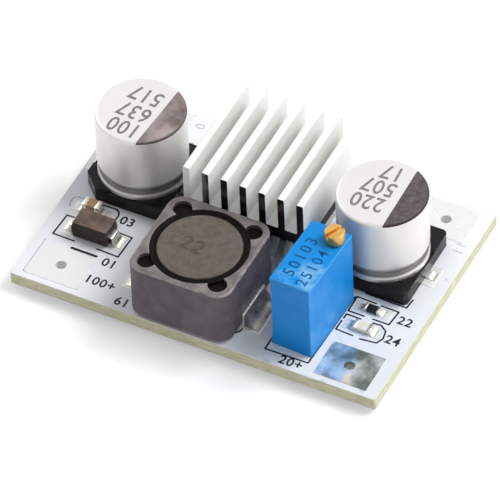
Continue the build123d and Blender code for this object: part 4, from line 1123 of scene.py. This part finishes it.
@dataclass
class Studio:
    """The pale floor, the soft lamps and the camera."""

    target: Triple = (2.47, -0.04, 2.25)
    azimuth: float = 28.22
    elevation: float = 46.71
    roll: float = -2.3
    distance: float = 870.71
    focal_pixels: float = 8131.4
    image_pixels: float = 500.0
    aim_pixels: Point = (274.5, 249.73)
    sensor: float = 36.0
    clip: Point = (0.05, 20.0)
    floor_size: float = 3.0
    floor_tones: tuple[Rgb, Rgb] = (tone("e8e8e9"), tone("ececed"))
    floor_grain: float = 30.0
    floor_roughness: float = 0.7
    floor_glow: float = 0.3
    sky_heights: Point = (0.2, 0.8)
    sky_tones: tuple[Rgb, Rgb] = ((1.0, 1.0, 1.0), (0.72, 0.73, 0.74))
    sky_light: float = 0.48
    lamps: tuple = (           # name, place in m, side in m, power in W
        ("key", (0.42, 0.36, 0.72), 0.5, 6.6),
        ("side", (0.8, 0.0, 0.24), 0.35, 0.9),
        ("left", (-0.7, 0.3, 0.5), 0.5, 1.8),
    )

    def camera(self) -> None:
        """Set the camera at the angle of the photograph."""
        side, rise = math.radians(self.azimuth), math.radians(self.elevation)
        back = Vector((math.sin(side) * math.cos(rise), -math.cos(side) * math.cos(rise),
                       math.sin(rise)))
        right = Vector((math.cos(side), math.sin(side), 0.0))
        up = back.cross(right)
        lean = math.radians(self.roll)
        level, upright = (right * math.cos(lean) + up * math.sin(lean),
                          up * math.cos(lean) - right * math.sin(lean))
        place = (Vector(self.target) + back * self.distance) * MM
        off = (self.image_pixels / 2 - self.aim_pixels[0],
               self.aim_pixels[1] - self.image_pixels / 2)
        gaze = (-back + level * (off[0] / self.focal_pixels)
                + upright * (off[1] / self.focal_pixels)).normalized()
        level = (level - gaze * level.dot(gaze)).normalized()
        upright = level.cross(gaze)
        turn = Matrix((level, upright, -gaze)).transposed().to_4x4()
        data = bpy.data.cameras.new("camera")
        data.sensor_width = self.sensor
        data.lens = self.focal_pixels / self.image_pixels * self.sensor
        data.clip_start, data.clip_end = self.clip
        view = bpy.data.objects.new("camera", data)
        view.matrix_world = Matrix.Translation(place) @ turn
        bpy.context.scene.collection.objects.link(view)
        bpy.context.scene.camera = view

    def light(self) -> None:
        """Hang the soft square lamps, each facing the module."""
        for name, place, size, power in self.lamps:
            data = bpy.data.lights.new(name, "AREA")
            data.size, data.energy = size, power
            lamp = bpy.data.objects.new(name, data)
            lamp.location = place
            lamp.rotation_euler = Vector(place).to_track_quat("Z", "Y").to_euler()
            bpy.context.scene.collection.objects.link(lamp)

    def floor(self) -> None:
        """Lay the white floor, which keeps the module's shadow."""
        mesh = bmesh.new()
        bmesh.ops.create_grid(mesh, x_segments=1, y_segments=1, size=self.floor_size / 2)
        data = bpy.data.meshes.new("floor")
        mesh.to_mesh(data)
        mesh.free()
        floor = bpy.data.objects.new("floor", data)
        bpy.context.scene.collection.objects.link(floor)
        surface = Surface("white_floor")
        grain = surface.noise(self.floor_grain, detail=2.0)
        surface.shade({"Base Color": surface.blend(grain, *self.floor_tones),
                       "Roughness": self.floor_roughness, "Emission Color": (1.0, 1.0, 1.0),
                       "Emission Strength": surface.product(surface.seen(), self.floor_glow)})
        data.materials.append(surface.material)

    def sky(self) -> None:
        """Surround the module with even light, whiter where it is seen or mirrored."""
        world = bpy.data.worlds.new("studio")
        bpy.context.scene.world = world
        world.use_nodes = True
        graph = Graph(world.node_tree)
        back = world.node_tree.nodes["Background"]
        heading = graph.add("ShaderNodeTexCoord").outputs["Generated"]
        high = graph.remap(graph.part(heading, 2), *self.sky_heights)
        graph.feed(back.inputs["Color"], graph.blend(high, *self.sky_tones))
        graph.feed(back.inputs["Strength"],
                   graph.remap(graph.seen(), 0.0, 1.0, self.sky_light, 1.0))

    def build(self) -> None:
        """Set the whole stage."""
        bpy.context.scene.view_settings.view_transform = "Standard"
        self.camera()
        self.floor()
        self.sky()
        self.light()


def main() -> None:
    """Build the module, one sub-assembly after another, and set the stage."""
    logging.basicConfig(level=logging.INFO, format="%(message)s")
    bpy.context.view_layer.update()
    assemblies = (
        Studio(),
        Board(),
        ElectrolyticCapacitor(
            "output_capacitor", (-15.05, 3.55),
            (("100", (-0.45, -2.95)), ("637", (-0.45, -0.45)), ("517", (-0.35, 2.2))),
            -4.0, 177.0, Looks.WORN_AND_LIT_PRINT),
        ElectrolyticCapacitor(
            "input_capacitor", (13.75, 3.6),
            (("220", (-0.8, -1.87)), ("507", (-0.65, 0.6)), ("17", (-0.2, 3.0))),
            1.1, 183.0),
        Inductor(), Converter(), Trimmer(), SmallParts(),
    )
    for assembly in assemblies:
        assembly.build()
        log.info("built %s", type(assembly).__name__)


if __name__ == "__main__":
    main()
